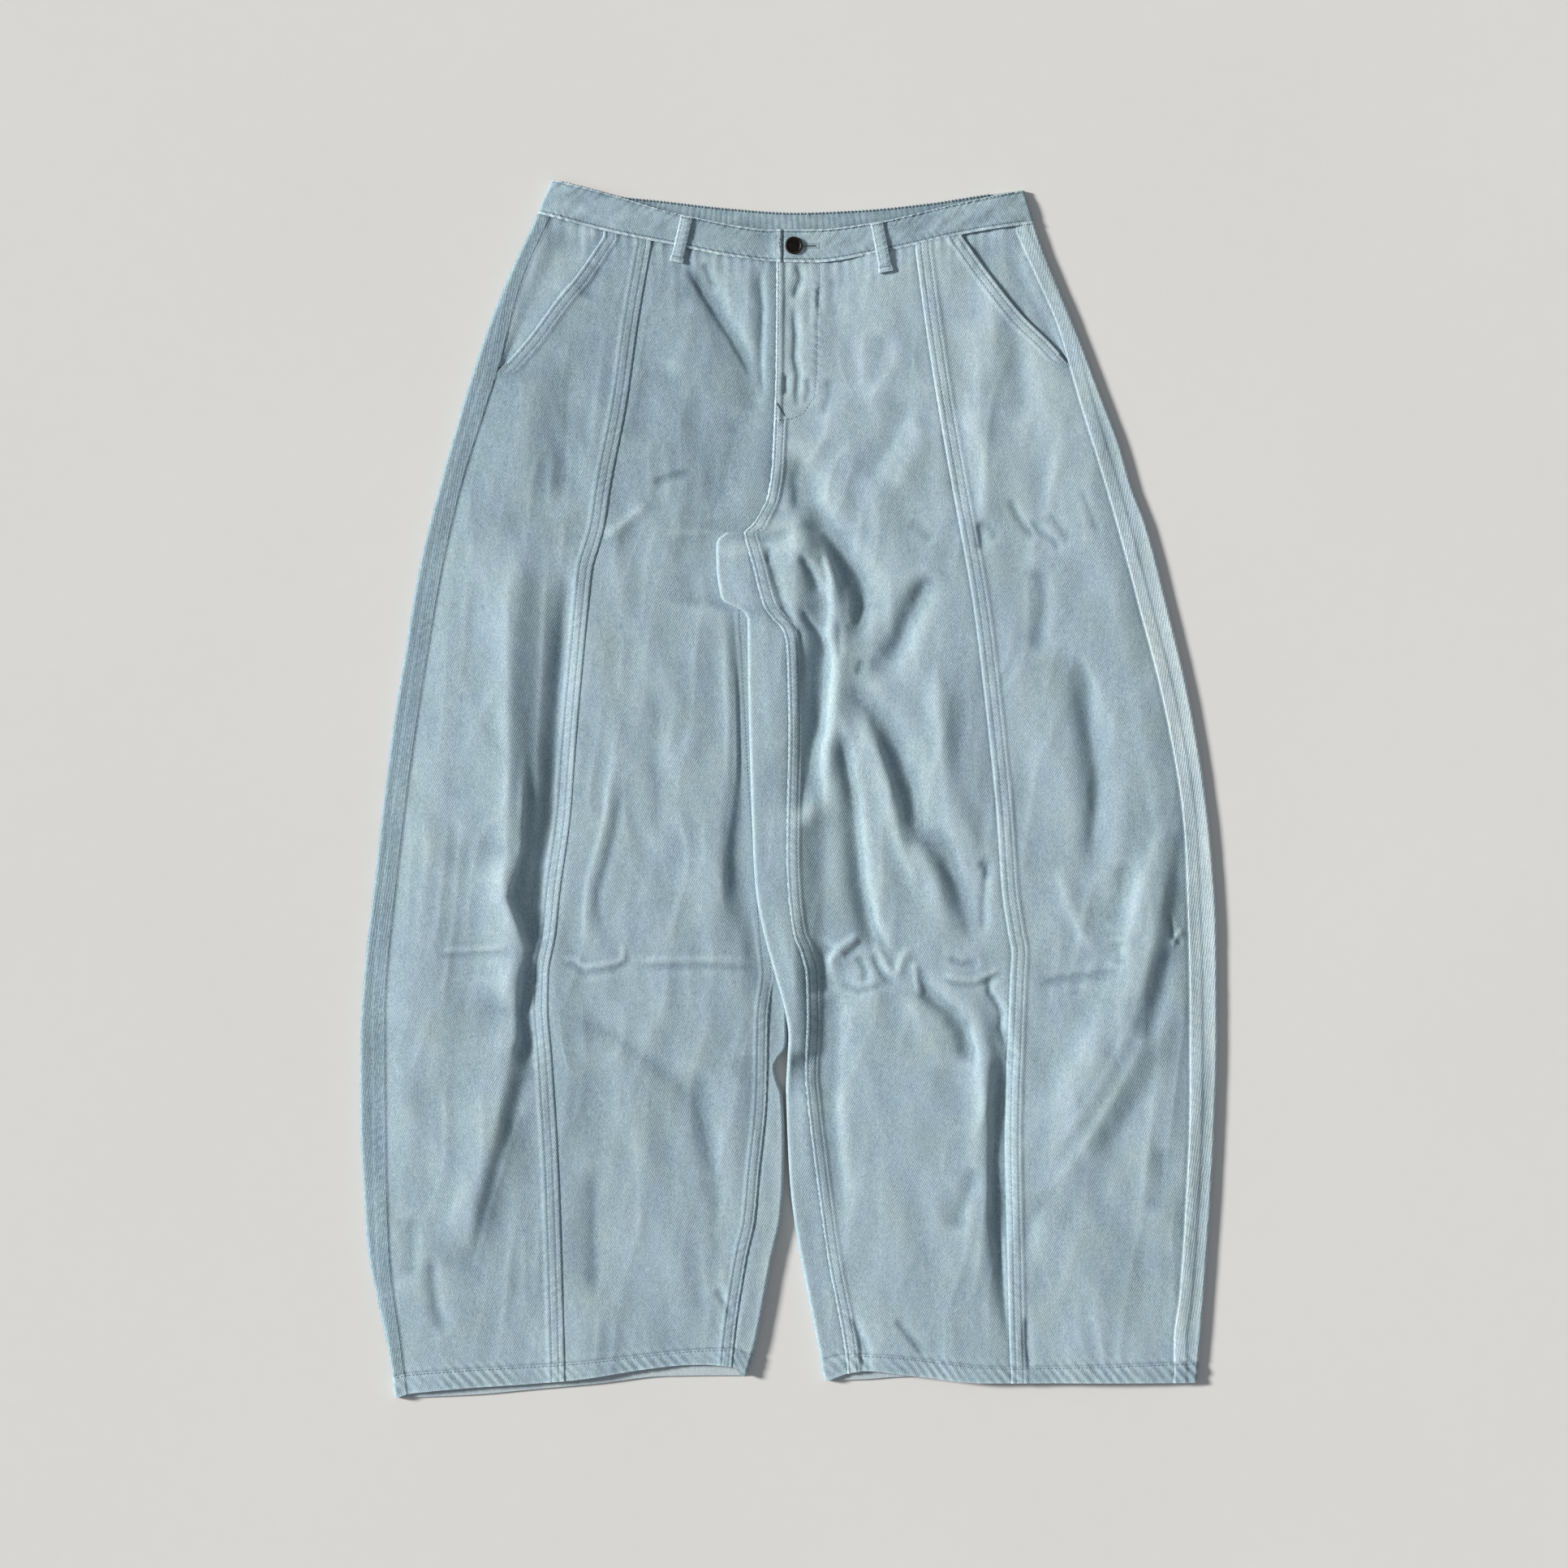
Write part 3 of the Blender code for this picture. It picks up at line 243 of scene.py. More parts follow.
# Smaller creases, in the same form
CREASES = legs_folds({
    "right": (
        # Right leg, from the knee up along the great fold beside the panel seam
        (1.6, 12, 7, ((-236, -110), (-229, -60), (-226, 20), (-227, 110), (-226, 200))),
        (2.4, 12, 4, ((-214, -140), (-214, -125), (-223, -103), (-229, -88), (-222, -68),
         (-217, -48), (-215, -15), (-217, 30))),
        (-1.6, 6, 13, ((-191, -112), (-187, -40), (-183, 30), (-180, 72))),
        (-3.0, 9, 7, ((-203, -152), (-199, -130), (-201, -110), (-203, -85), (-201, -60),
         (-196, -30), (-193, 0), (-190, 40), (-187, 80), (-184, 120), (-181, 170), (-178, 200))),
        (2.0, 14, 5, ((-228, -222), (-221, -202), (-222, -180), (-220, -155), (-215, -132))),
        (1.4, 16, 9, ((-266, -396), (-258, -345), (-246, -303), (-238, -270), (-229, -225))),
        (-2.4, 9, 6, ((-214, -232), (-208, -200), (-211, -180), (-210, -160), (-203, -134))),
        (1.8, 6, 6, ((-257, -402), (-243, -345), (-229, -300), (-217, -262), (-207, -225))),
        (-1.7, 18, 16, ((-256, -412), (-242, -345), (-227, -300), (-214, -255))),
        (2.0, 12, 12, ((-250, -402), (-236, -345), (-222, -300), (-211, -262), (-202, -225))),
        (-1.6, 10, 12, ((-259, -400), (-246, -345), (-233, -303), (-220, -268), (-209, -228),
         (-206, -200))),
        (0.5, 3, 5, ((-206, -50), (-204, 20), (-201, 80), (-198, 140), (-196, 200))),
        (1.1, 4, 9, ((-160, -132), (-165, -104), (-162, -75), (-154, -48), (-147, -20), (-142, 10),
         (-137, 42))),
        (-1.0, 5, 4, ((-153, -127), (-154, -84), (-142, -41), (-133, 8))),
        (0.9, 2.2, 2.2, ((-186, -136), (-172, -138), (-165, -144), (-153, -143), (-139, -140),
         (-134, -137), (-134, -129), (-138, -122))),
        (-1.0, 2, 2.5, ((-185, -140), (-172, -143), (-164, -149), (-151, -147), (-137, -145),
         (-130, -140), (-130, -129))),
        (0.7, 2.5, 2.5, ((-284, -131), (-250, -130), (-224, -128))),
        (-0.8, 2.5, 3, ((-284, -135), (-250, -134), (-222, -132))),
        (0.5, 3, 3, ((-130, -137), (-113, -138), (-67, -137), (-21, -140))),
        (-0.7, 2.5, 3, ((-128, -144), (-113, -144), (-67, -143), (-17, -146))),
        # Right hip
        (-2.0, 13, 12, ((-181, 225), (-181, 290), (-180, 355))),
        (1.5, 16, 14, ((-214, 215), (-212, 290), (-205, 345))),
        (1.3, 12, 14, ((-98, 330), (-82, 365), (-76, 405))),
        (-1.3, 11, 13, ((-125, 270), (-118, 330), (-112, 400))),
        (-1.4, 14, 14, ((-62, 215), (-50, 262), (-40, 310))),
        # Right leg, its inner half
        (1.4, 6, 6, ((-149, 201), (-140, 210), (-113, 233))),
        (-1.2, 3, 5, ((-111, 247), (-100, 252), (-77, 259))),
        (-3.0, 2.5, 8, ((-28, 330), (-37, 350), (-46, 366), (-60, 388), (-70, 404), (-78, 416),
         (-85, 425))),
        (-1.3, 3, 4, ((-58, 404), (-64, 414), (-69, 429))),
        (-2.2, 5, 3, ((-20, 312), (-23, 345), (-21, 391), (-25, 429))),
        (0.7, 9, 7, ((-36, 352), (-34, 391), (-37, 429))),
        (1.8, 12, 4, ((-54, -110), (-52, -58), (-46, -18), (-40, 48), (-38, 120))),
        (-1.4, 10, 10, ((-105, -51), (-108, 21), (-105, 87))),
        # Right leg below the knee
        (-1.7, 7, 6, ((-279, -445), (-286, -420), (-289, -400), (-290, -376))),
        (-1.3, 9, 7, ((-306, -402), (-306, -372), (-305, -342))),
        (-1.3, 8, 9, ((-60, -315), (-66, -280), (-70, -250), (-76, -222))),
        (-1.1, 3, 3, ((-45, -430), (-51, -418), (-59, -404))),
        (-1.5, 9, 8, ((-156, -418), (-159, -361), (-158, -300))),
        (-2.0, 11, 12, ((-54, -412), (-60, -315), (-80, -226))),
        (-1.5, 10, 10, ((-179, -183), (-136, -203), (-93, -236), (-70, -262))),
        (-1.2, 9, 8, ((-165, 395), (-158, 412), (-152, 428))),
    ),
    "left": (
        # Left leg, round the crotch
        (-3.4, 4, 11, ((57, 118), (56, 134), (57, 146), (60, 159), (57, 171), (50, 181), (40, 196),
         (30, 211), (10, 226), (9, 246), (10, 278))),
        (-1.5, 2.5, 4, ((10, 60), (10, 109), (9, 127), (-3, 145), (-10, 167), (-16, 189),
         (-21, 206))),
        (-2.5, 5, 2.5, ((27, 157), (22, 169), (17, 179), (9, 191))),
        (-1.1, 3, 2.5, ((32, 164), (30, 176), (25, 191))),
        (-1.0, 9, 7, ((19, -25), (22, 15), (25, 48), (28, 76), (30, 90), (31, 103), (30, 117),
         (25, 127), (17, 136), (10, 148))),
        (-2.2, 5, 2.5, ((31, 100), (30, 117), (25, 127), (17, 136), (9, 149))),
        (3.4, 9, 9, ((17, -36), (22, 0), (27, 28), (31, 52))),
        (-2.4, 8, 5, ((10, -30), (11, 0), (15, 24), (21, 50), (26, 82))),
        (2.2, 6, 7, ((34, 105), (34, 128), (36, 146), (36, 165), (31, 192), (20, 216))),
        (1.0, 4, 3, ((51, 130), (50, 150), (48, 168))),
        (-1.1, 3, 3, ((41, 104), (41, 122), (41, 141))),
        (-3.0, 7, 8, ((77, 104), (88, 113), (93, 123), (98, 138), (105, 152), (118, 178))),
        (-1.2, 2.5, 3, ((56, 92), (61, 106))),
        (-1.4, 4, 4, ((157, 192), (156, 217))),
        (-1.3, 2.5, 3.5, ((-21, 198), (-17, 204), (-10, 216), (-6, 228))),
        (-1.2, 2.5, 3, ((-16, 182), (-16, 190), (-14, 198))),
        (1.2, 3, 2.5, ((-33, 114), (-34, 134), (-36, 143), (-40, 147), (-48, 147), (-54, 151))),
        (-1.0, 2.5, 2.5, ((-37, 114), (-42, 128), (-48, 146))),
        # Left leg, the long folds from the crotch to the knee
        (-1.7, 10, 2.5, ((82, -148), (72, -130), (64, -105), (59, -75), (55, -40), (51, 0), (44, 30),
         (37, 60))),
        (1.3, 8, 6, ((30, -30), (31, 20), (32, 60), (35, 100))),
        (1.8, 10, 15, ((150, -132), (141, -84), (128, -51), (105, -38), (95, 2), (81, 38), (62, 71),
         (44, 95))),
        (-1.2, 7, 9, ((106, -42), (101, -20), (98, 0), (93, 20), (85, 40), (72, 60), (58, 76),
         (46, 92))),
        (-1.2, 8, 9, ((150, -130), (147, -118), (145, -103), (141, -88), (136, -75), (128, -62),
         (114, -50))),
        (1.5, 9, 6, ((110, -90), (94, -55), (86, -20), (80, 10), (70, 42), (57, 74))),
        (1.3, 10, 9, ((151, -100), (141, -60), (130, -28), (125, 20), (120, 100))),
        (-1.3, 4, 4, ((158, -120), (158, -90), (162, -58), (157, -50))),
        # Left leg, crumples where it was folded at the knee
        (-2.6, 8, 4, ((33, -168), (29, -150), (30, -136), (38, -126))),
        (1.8, 3.5, 4, ((33, -147), (35, -136), (43, -128), (52, -122), (60, -116))),
        (-1.5, 2.5, 3, ((44, -137), (54, -129), (61, -121))),
        (-1.3, 3, 3, ((61, -158), (63, -148), (58, -138), (52, -139))),
        (1.8, 4, 4, ((99, -124), (92, -138), (88, -150), (82, -147), (75, -134), (67, -117))),
        (-1.4, 3, 3, ((88, -158), (80, -154), (72, -143), (68, -132))),
        (1.2, 4, 3, ((108, -168), (104, -154), (102, -138))),
        (0.9, 2.5, 3, ((124, -150), (138, -154), (152, -155), (164, -150), (174, -143))),
        (-1.1, 2.5, 2.5, ((124, -154), (138, -158), (152, -159), (166, -154), (176, -147))),
        (-1.0, 3, 3, ((128, -136), (142, -142), (156, -141))),
        (-0.8, 3, 3, ((39, -156), (58, -164), (82, -157))),
        # Left leg, side panel
        (-1.7, 9, 4, ((243, -60), (247, -35), (251, -10), (251, 5), (248, 25), (245, 45), (244, 65),
         (244, 82), (239, 96), (227, 113))),
        (-1.4, 9, 8, ((265, -114), (270, -85), (274, -56))),
        (-1.2, 6, 5, ((269, -144), (266, -122))),
        (1.8, 9, 12, ((262, -160), (275, -122), (287, -80), (298, -42), (307, -16))),
        (-1.2, 8, 8, ((306, -114), (313, -85), (317, -58), (316, -26))),
        (-2.4, 10, 9, ((286, -208), (296, -187), (303, -165), (307, -142), (311, -122))),
        (1.1, 2.5, 2.5, ((311, -127), (315, -119), (321, -113))),
        (-1.3, 2.2, 2.5, ((308, -100), (312, -120), (321, -126))),
        (1.2, 7, 8, ((253, -136), (240, -120), (227, -92), (217, -58))),
        (-1.3, 3.5, 5, ((203, -160), (216, -155), (240, -152), (262, -149), (271, -138))),
        (2.4, 12, 15, ((205, -340), (232, -300), (264, -250), (285, -207), (299, -165))),
        (-1.0, 8, 8, ((225, -275), (250, -236), (271, -196), (285, -157))),
        (1.0, 14, 14, ((205, -275), (238, -214), (262, -172))),
        (0.7, 8, 8, ((206, -350), (262, -252), (290, -205))),
        (-1.6, 12, 14, ((250, -300), (270, -275), (290, -240), (308, -196))),
        (-1.1, 9, 9, ((190, -390), (193, -364), (197, -350), (206, -336), (222, -320), (232, -305),
         (236, -294), (234, -282))),
        (-1.0, 8, 10, ((296, -348), (303, -318), (305, -286))),
        (-1.3, 3, 3, ((196, -474), (193, -452), (193, -424))),
        # Left leg below the knee
        (-3.0, 17, 20, ((28, -262), (32, -222), (38, -192), (42, -170), (40, -148), (30, -128))),
        (-2.2, 6, 7, ((156, -230), (147, -207), (142, -193), (133, -180), (121, -172), (112, -166),
         (108, -152), (107, -138))),
        (1.5, 6, 8, ((160, -280), (158, -235), (152, -205), (145, -186))),
        (1.0, 13, 9, ((130, -235), (118, -208), (106, -186), (98, -163))),
        (-1.6, 3, 2.5, ((177, -212), (172, -192), (173, -182), (169, -173), (163, -164), (163, -155),
         (172, -147))),
        (1.0, 5, 4, ((169, -400), (164, -360), (163, -320), (166, -285), (165, -250))),
        (-2.6, 5, 3, ((178, -458), (174, -400), (169, -350), (167, -300), (170, -250), (173, -206))),
        (-1.6, 9, 7, ((136, -362), (140, -340), (148, -318), (152, -302))),
        (-1.4, 3, 4, ((112, -462), (103, -450), (95, -440), (86, -428))),
        (-1.6, 3, 3, ((61, -474), (59, -450), (57, -440), (50, -426))),
        (-1.2, 2.5, 2.5, ((66, -474), (64, -455), (59, -443))),
        # Left leg, hip and side
        (-1.0, 4, 4, ((163, -74), (161, -64), (154, -58))),
        (-2.0, 9, 7, ((203, 106), (204, 130), (207, 150), (206, 168), (198, 187))),
        (-1.3, 3, 4, ((179, 238), (186, 222), (193, 212), (202, 202))),
        (-1.1, 3, 3, ((195, 220), (206, 208), (214, 203), (222, 193))),
        (-0.9, 4, 5, ((210, 226), (223, 210), (230, 198))),
        (-0.8, 4, 4, ((237, 246), (247, 219), (253, 206))),
        (-0.8, 4, 5, ((154, 219), (171, 203))),
        (-0.8, 5, 6, ((98, 219), (118, 200))),
        # Left hip
        (1.7, 12, 12, ((166, 325), (166, 380), (160, 428))),
        (-1.7, 12, 12, ((190, 295), (186, 350), (178, 398))),
        (1.5, 10, 10, ((158, 212), (158, 270), (150, 312))),
        (-1.3, 10, 10, ((140, 225), (136, 280), (134, 335))),
        (-1.5, 12, 11, ((58, 245), (85, 285), (102, 325))),
        (1.3, 12, 11, ((84, 240), (104, 275), (112, 300))),
        # Fly
        (-1.8, 2.5, 3, ((4, 396), (7, 406), (10, 415), (7, 429))),
        (-1.7, 2.5, 3, ((7, 306), (7, 322), (8, 336), (5, 350), (6, 368), (5, 380), (4, 396))),
        (-0.5, 3.5, 3.5, ((15, 372), (17, 392), (16, 408))),
        (-1.0, 3, 3, ((13, 312), (17, 323), (15, 336))),
        (-1.1, 2, 3, ((25, 388), (24, 399), (26, 410))),
        (-1.3, 2.5, 2.5, ((-2, 319), (-2, 338))),
        (-0.7, 4, 6, ((39, 382), (36, 400), (38, 418))),
        (0.6, 7, 8, ((60, 308), (75, 328), (86, 346), (93, 368))),
        (-0.7, 8, 8, ((66, 325), (74, 345), (76, 372))),
        (-1.0, 4, 5, ((28, 302), (33, 318), (33, 336))),
        (1.2, 12, 12, ((156, 285), (155, 330), (150, 390))),
    ),
})
CREASE_CALM = 4.0
CREASE_POWER = 1.6

# Soft unevenness of the whole layer, as (height, size across, size along, seed), and soft
# ridges with crisp tops in the same form
DRAPE = ((1.2, 46, 130, 1), (0.55, 19, 42, 2))
RIDGES = ((1.0, 34, 120, 5), (0.5, 15, 50, 6))
RIDGE_SWAY = ((9.0, 60.0, 60.0, 8),)
NOISE_LEAN = 0.25
RIDGE_LEAN = 0.12
DRAPE_CALM = 16.0
COVER_CALM = 10.0
FLOOR_BLEND = 1.6

# Belt loops: where each starts on the band and ends below the waist seam
Loop = namedtuple("Loop", "leg top foot width")
BELT_LOOPS = {
    "belt_loop_right": Loop("right", (-82.5, 464.6), (-91, 427.5), 10.0),
    "belt_loop_left": Loop("left", (71.6, 459.6), (79.2, 419.5), 10.5),
}
LOOP_BLEND = 2.0
SHARP_ANGLE = 50.0


def smooth(t):
    """An S-shaped step that is 0 below 0 and 1 above 1."""
    t = np.clip(t, 0.0, 1.0)
    return t * t * (3.0 - 2.0 * t)


def curve(points, at):
    """The smooth curve through (place, value) points, level beyond its ends."""
    place, value = np.array(sorted(points), float).T
    rise = np.diff(value) / np.diff(place)
    both = rise[:-1] + rise[1:]
    level = rise[:-1] * rise[1:] <= 0
    turning = np.where(level, 0.0, 2 * rise[:-1] * rise[1:] / np.where(level, 1.0, both))
    slope = np.concatenate([rise[:1], turning, rise[-1:]])
    at = np.clip(at, place[0], place[-1])
    i = np.clip(np.searchsorted(place, at, side="right") - 1, 0, len(place) - 2)
    span = place[i + 1] - place[i]
    t = (at - place[i]) / span
    start = value[i] * (1 + 2 * t) + slope[i] * span * t
    end = value[i + 1] * (3 - 2 * t) - slope[i + 1] * span * (1 - t)
    return start * (1 - t) ** 2 + end * t**2


def mix(a, b, t):
    return a + (b - a) * t


UNDERSIDE = {"back", "outer_under", "inner_under", "fork"}
FOLD_EDGES = {("outer_under", "outer_over"), ("inner_over", "inner_under")}


def line_x(leg, name, y):
    """Where a named line of a leg is, across, at each y."""
    lines = LINES[leg]
    if name in ("outer_under", "outer_over"):
        return curve(lines["outer"], y) - SIGN[leg] * OUTER_RADIUS
    if name in ("inner_under", "inner_over"):
        return curve(lines["inner"], y) + SIGN[leg] * INNER_RADIUS[leg]
    if name == "fork":
        if leg == "left":
            return curve(LEFT_FORK, y)
        below = curve(lines["inner"], y) - INNER_RADIUS[leg] - FORK_STEP
        return np.where(y > ROW_CROTCH + 1, CENTRE_BACK, below)
    if name in ("pocket_edge", "facing_end"):
        pocket = curve(lines["pocket"], y)
        if name == "facing_end":
            return pocket - SIGN[leg] * POCKET_UNDERLAP
        return np.where(y > POCKET_FOOT[leg], pocket, curve(lines["side"], y))
    return curve(lines[name], y)


def layer(name):
    return "under" if name in UNDERSIDE else "over"


def ends_of(leg, name):
    """x where a line meets the waist seam, and x where it meets the hem seam."""
    found = []
    for seam, y in ((WAIST_SEAM, ROW_TOP), (HEM_SEAM[leg], ROW_BOTTOM)):
        for _ in range(6):
            x = line_x(leg, name, np.float64(y))
            y = curve(seam[layer(name)], x)
        found.append(float(x))
    return found


def row_y(leg, side, top_x, bottom_x, n):
    """y of row n, for a point whose column starts at top_x and ends at bottom_x."""
    top = curve(WAIST_SEAM[side], top_x) - ROW_TOP
    bottom = curve(HEM_SEAM[leg][side], bottom_x)
    edge = curve(HEM_EDGE[leg][side], bottom_x)
    near_top = smooth((n - ROW_TOP + BEND_REACH) / BEND_REACH)
    near_bottom = smooth((ROW_BOTTOM + BEND_REACH - n) / BEND_REACH)
    above = n + top * near_top + (bottom - ROW_BOTTOM) * near_bottom
    in_hem = mix(bottom, edge, (ROW_BOTTOM - n) / HEM_DEPTH)
    return np.where(n < ROW_BOTTOM, in_hem, above)


def lift(x, y, side):
    """How far a layer of the left leg is lifted by the right leg that it lies on."""
    right_edge = curve(LINES["right"]["inner"], np.minimum(y, ROW_CROTCH))
    across = 1 - smooth((x - right_edge - LIFT_EDGE) / LIFT_RAMP)
    below_crotch = smooth((LIFT_TOP[side] - y) / CROTCH_RAMP)
    above_knee = smooth((y - KNEE_END) / KNEE_RAMP)
    return OVERLAP_FLOOR * across * below_crotch * above_knee


def noise(x, y, across, along, seed):
    """Smooth noise from -1 to 1, with cells of the given size."""
    gx, gy = x / across, y / along
    ix, iy = np.floor(gx), np.floor(gy)
    fx, fy = smooth(gx - ix), smooth(gy - iy)

    def corner(i, j):
        value = np.sin((ix + i) * 12.9898 + (iy + j) * 78.233 + seed * 37.719) * 43758.5453
        return 2 * (value - np.floor(value)) - 1

    return mix(mix(corner(0, 0), corner(1, 0), fx), mix(corner(0, 1), corner(1, 1), fx), fy)


def layered(layers, x, y):
    """Sum of noises, each given as (height, size across, size along, seed)."""
    return sum(height * noise(x, y, *size, seed) for height, *size, seed in layers)


def noise_along(x, size, seed):
    """Smooth noise that changes with one coordinate only."""
    return noise(x, x * 0, size, 1.0, seed)


def bump(d, middle, reach):
    return np.exp(-(((d - middle) / reach) ** 2))


def fold_height(fold, x, y, power=2.0):
    """Height that one fold adds at each point. A low power makes its top sharper."""
    path = np.array(fold.path, float)
    reach = 3 * max(fold.left, fold.right)
    low, high = path.min(axis=0) - reach, path.max(axis=0) + reach
    near = (x > low[0]) & (x < high[0]) & (y > low[1]) & (y < high[1])
    added = np.zeros(np.shape(x))
    if not near.any():
        return added
    x, y = x[near], y[near]
    step = np.diff(path, axis=0)
    length = np.hypot(step[:, 0], step[:, 1])
    total = length.sum()
    nearest = np.full(x.shape, np.inf)
    side = np.zeros(x.shape)
    along = np.zeros(x.shape)
    for i, (start, (dx, dy)) in enumerate(zip(path, step)):
        px, py = x - start[0], y - start[1]
        t = np.clip((px * dx + py * dy) / length[i] ** 2, 0.0, 1.0)
        distance = np.hypot(px - t * dx, py - t * dy)
        closer = distance < nearest
        nearest = np.where(closer, distance, nearest)
        side = np.where(closer, dx * py - dy * px, side)
        along = np.where(closer, (length[:i].sum() + t * length[i]) / total, along)
    reach = np.where(side > 0, fold.left, fold.right)
    taper = smooth(along / FOLD_END) * smooth((1 - along) / FOLD_END)
    added[near] = fold.height * taper * np.exp(-((nearest / reach) ** power))
    return added


def under_height(leg, x, y):
    """Height of the outer side of the lower layer."""
    if leg == "right":
        return np.zeros(np.shape(x))
    return lift(x, y, "under")


def drape(x, y):
    """Soft unevenness of the upper layer."""
    height = layered(DRAPE, x + NOISE_LEAN * y, y)
    sway = layered(RIDGE_SWAY, x, y)
    for h, a, b, seed in RIDGES:
        height = height + h * (0.5 - np.abs(noise(x + sway - RIDGE_LEAN * y, y, a, b, seed)))
    return height


def over_height(leg, x, y):
    """Height of the outer side of the upper layer."""
    x, y = np.broadcast_arrays(np.atleast_1d(x), np.atleast_1d(y))
    s = SIGN[leg]
    from_outer = s * (line_x(leg, "outer_over", y) - x)
    from_inner = s * (x - line_x(leg, "inner_over", y))
    if leg == "right":
        hidden = curve(LINES["right"]["inner"], y) - curve(LINES["left"]["inner"], y)
        from_inner = from_inner - np.clip(hidden + LIFT_EDGE, 0, MOST_HIDDEN)
    level = curve(PILLOW, y)
    below_crotch = smooth((LIFT_TOP["under"] - y) / CROTCH_RAMP)
    inner_edge = OVERLAP_CEILING if leg == "right" else 2 * INNER_RADIUS[leg]
    z = level - (level - 2 * OUTER_RADIUS) * (1 - smooth(from_outer / OUTER_SLOPE))
    z = z - (level - inner_edge) * (1 - smooth(from_inner / INNER_SLOPE[leg])) * below_crotch
    for folds, calm_reach, power in ((FOLDS, EDGE_CALM, 2.0), (CREASES, CREASE_CALM, CREASE_POWER)):
        raised = sum(fold_height(fold, x, y, power) for fold in folds[leg])
        calm = smooth(from_outer / calm_reach)
        calm = calm * (1 - below_crotch * (1 - smooth(from_inner / calm_reach)))
        z = z + raised * calm
    calm = smooth(from_outer / DRAPE_CALM)
    calm = calm * (1 - below_crotch * (1 - smooth(from_inner / DRAPE_CALM)))
    z = z + drape(x, y) * calm
    if leg == "left":
        z = z + lift(x, y, "over")
    floor = under_height(leg, x, y) + 2 * WALL + LEAST_ROOM
    return floor + (z - floor + np.hypot(z - floor, FLOOR_BLEND)) / 2


def flat_stretch(leg, a, b, f, n):
    """Points on one layer, a fraction f of the way from line a to line b."""
    side = layer(b)
    (top_a, bottom_a), (top_b, bottom_b) = ends_of(leg, a), ends_of(leg, b)
    y = row_y(leg, side, mix(top_a, top_b, f), mix(bottom_a, bottom_b, f), n)
    x_a = line_x(leg, a, row_y(leg, side, top_a, bottom_a, n))
    x_b = line_x(leg, b, row_y(leg, side, top_b, bottom_b, n))
    x = mix(x_a, x_b, f)
    z = (under_height if side == "under" else over_height)(leg, x, y)
    return np.stack([x, y, z], axis=-1)


def turned_stretch(leg, a, b, f, n):
    """Points round a fold edge, a fraction f of the way from line a to line b."""
    y_a = row_y(leg, layer(a), *ends_of(leg, a), n)
    y_b = row_y(leg, layer(b), *ends_of(leg, b), n)
    y = mix(y_a, y_b, f)
    centre = line_x(leg, a, y)
    at_outer = a.startswith("outer")
    radius = OUTER_RADIUS if at_outer else -INNER_RADIUS[leg]
    angle = np.pi * (f - 0.5) * (1 if at_outer else -1)
    low, high = under_height(leg, centre, y), over_height(leg, centre, y)
    x = centre + SIGN[leg] * radius * np.cos(angle)
    z = mix(low, high, 0.5 + 0.5 * np.sin(angle))
    return np.stack([x, y, z], axis=-1)


def surface(leg, route, u, n):
    """Points on the outer side of the cloth along a route of named lines."""
    u, n = np.broadcast_arrays(np.asarray(u, float), np.asarray(n, float))
    points = np.zeros(u.shape + (3,))
    k = np.clip(np.floor(u).astype(int), 0, len(route) - 2)
    for i in np.unique(k):
        here = k == i
        stretch = turned_stretch if (route[i], route[i + 1]) in FOLD_EDGES else flat_stretch
        points[here] = stretch(leg, route[i], route[i + 1], u[here] - i, n[here])
    return points


# Fine unevenness of the cloth, as (height, size across, size along, seed)
GRAIN = ((0.09, 7, 12, 3), (0.035, 3.5, 5, 4))
# Unevenness of the wear, in the same form
FADE = ((0.10, 9.0, 30.0, 11), (0.12, 60.0, 90.0, 12))
UNDER_FADE = ((0.12, 40.0, 70.0, 51),)
BAND_FADE = ((0.28, 6.0, 4.0, 61), (0.30, 17.0, 10.0, 62))
BAND_CRUMPLE = ((0.6, 24.0, 13.0, 65), (0.25, 7.0, 8.0, 66))
GATHER_FADE = ((0.35, 3.0, 3.0, 74), (0.3, 11.0, 9.0, 75))

# Seams that lie on the upper layer. d is measured from the seam line towards the upper cloth,
# which is on the outer side of the line where side is 1. rise and width are the height and
# width of the folded band under it, and stitches are the distances of its rows of stitches.
Seam = namedtuple("Seam", "leg line side low high rise width stitches rope dip")
SEAMS = (
    Seam("right", "panel", 1, -500, 470, 0.6, 12.0, (4.4, 10.2), 0.16, 0.5),
    Seam("left", "panel", 1, -500, 470, 0.6, 12.0, (4.4, 10.2), 0.16, 0.5),
    Seam("right", "inseam", 1, -500, 208, 0.55, 9.6, (2.6, 8.4), 0.16, 0.5),
    Seam("left", "inseam", 1, -500, 209, 0.55, 9.6, (2.6, 8.4), 0.16, 0.5),
    Seam("right", "inseam", -1, 208, 470, 0.0, 8.0, (), 0.0, 0.6),
    Seam("left", "inseam", 1, 209, 301, 0.8, 8.6, (2.0, 7.5), 0.26, 0.5),
    Seam("left", "inseam", 1, 297, 470, 0.9, 4.0, (1.5,), 0.12, 0.5),
    Seam("right", "side", 1, -500, 470, 0.5, 8.5, (), 0.12, 0.4),
    Seam("left", "side", 1, -500, 470, 0.5, 8.5, (), 0.12, 0.4),
    Seam("right", "pocket", -1, 338, 470, 0.6, 10.0, (3.3, 8.6), 0.16, 0.0),
    Seam("left", "pocket", -1, 345.5, 470, 0.6, 10.0, (3.3, 8.6), 0.16, 0.0),
)
ROPE_PITCH = 7.6
ROPE_LEAN = 0.55
STITCH_GROOVE = 0.30
GROOVE_WIDTH = 0.65
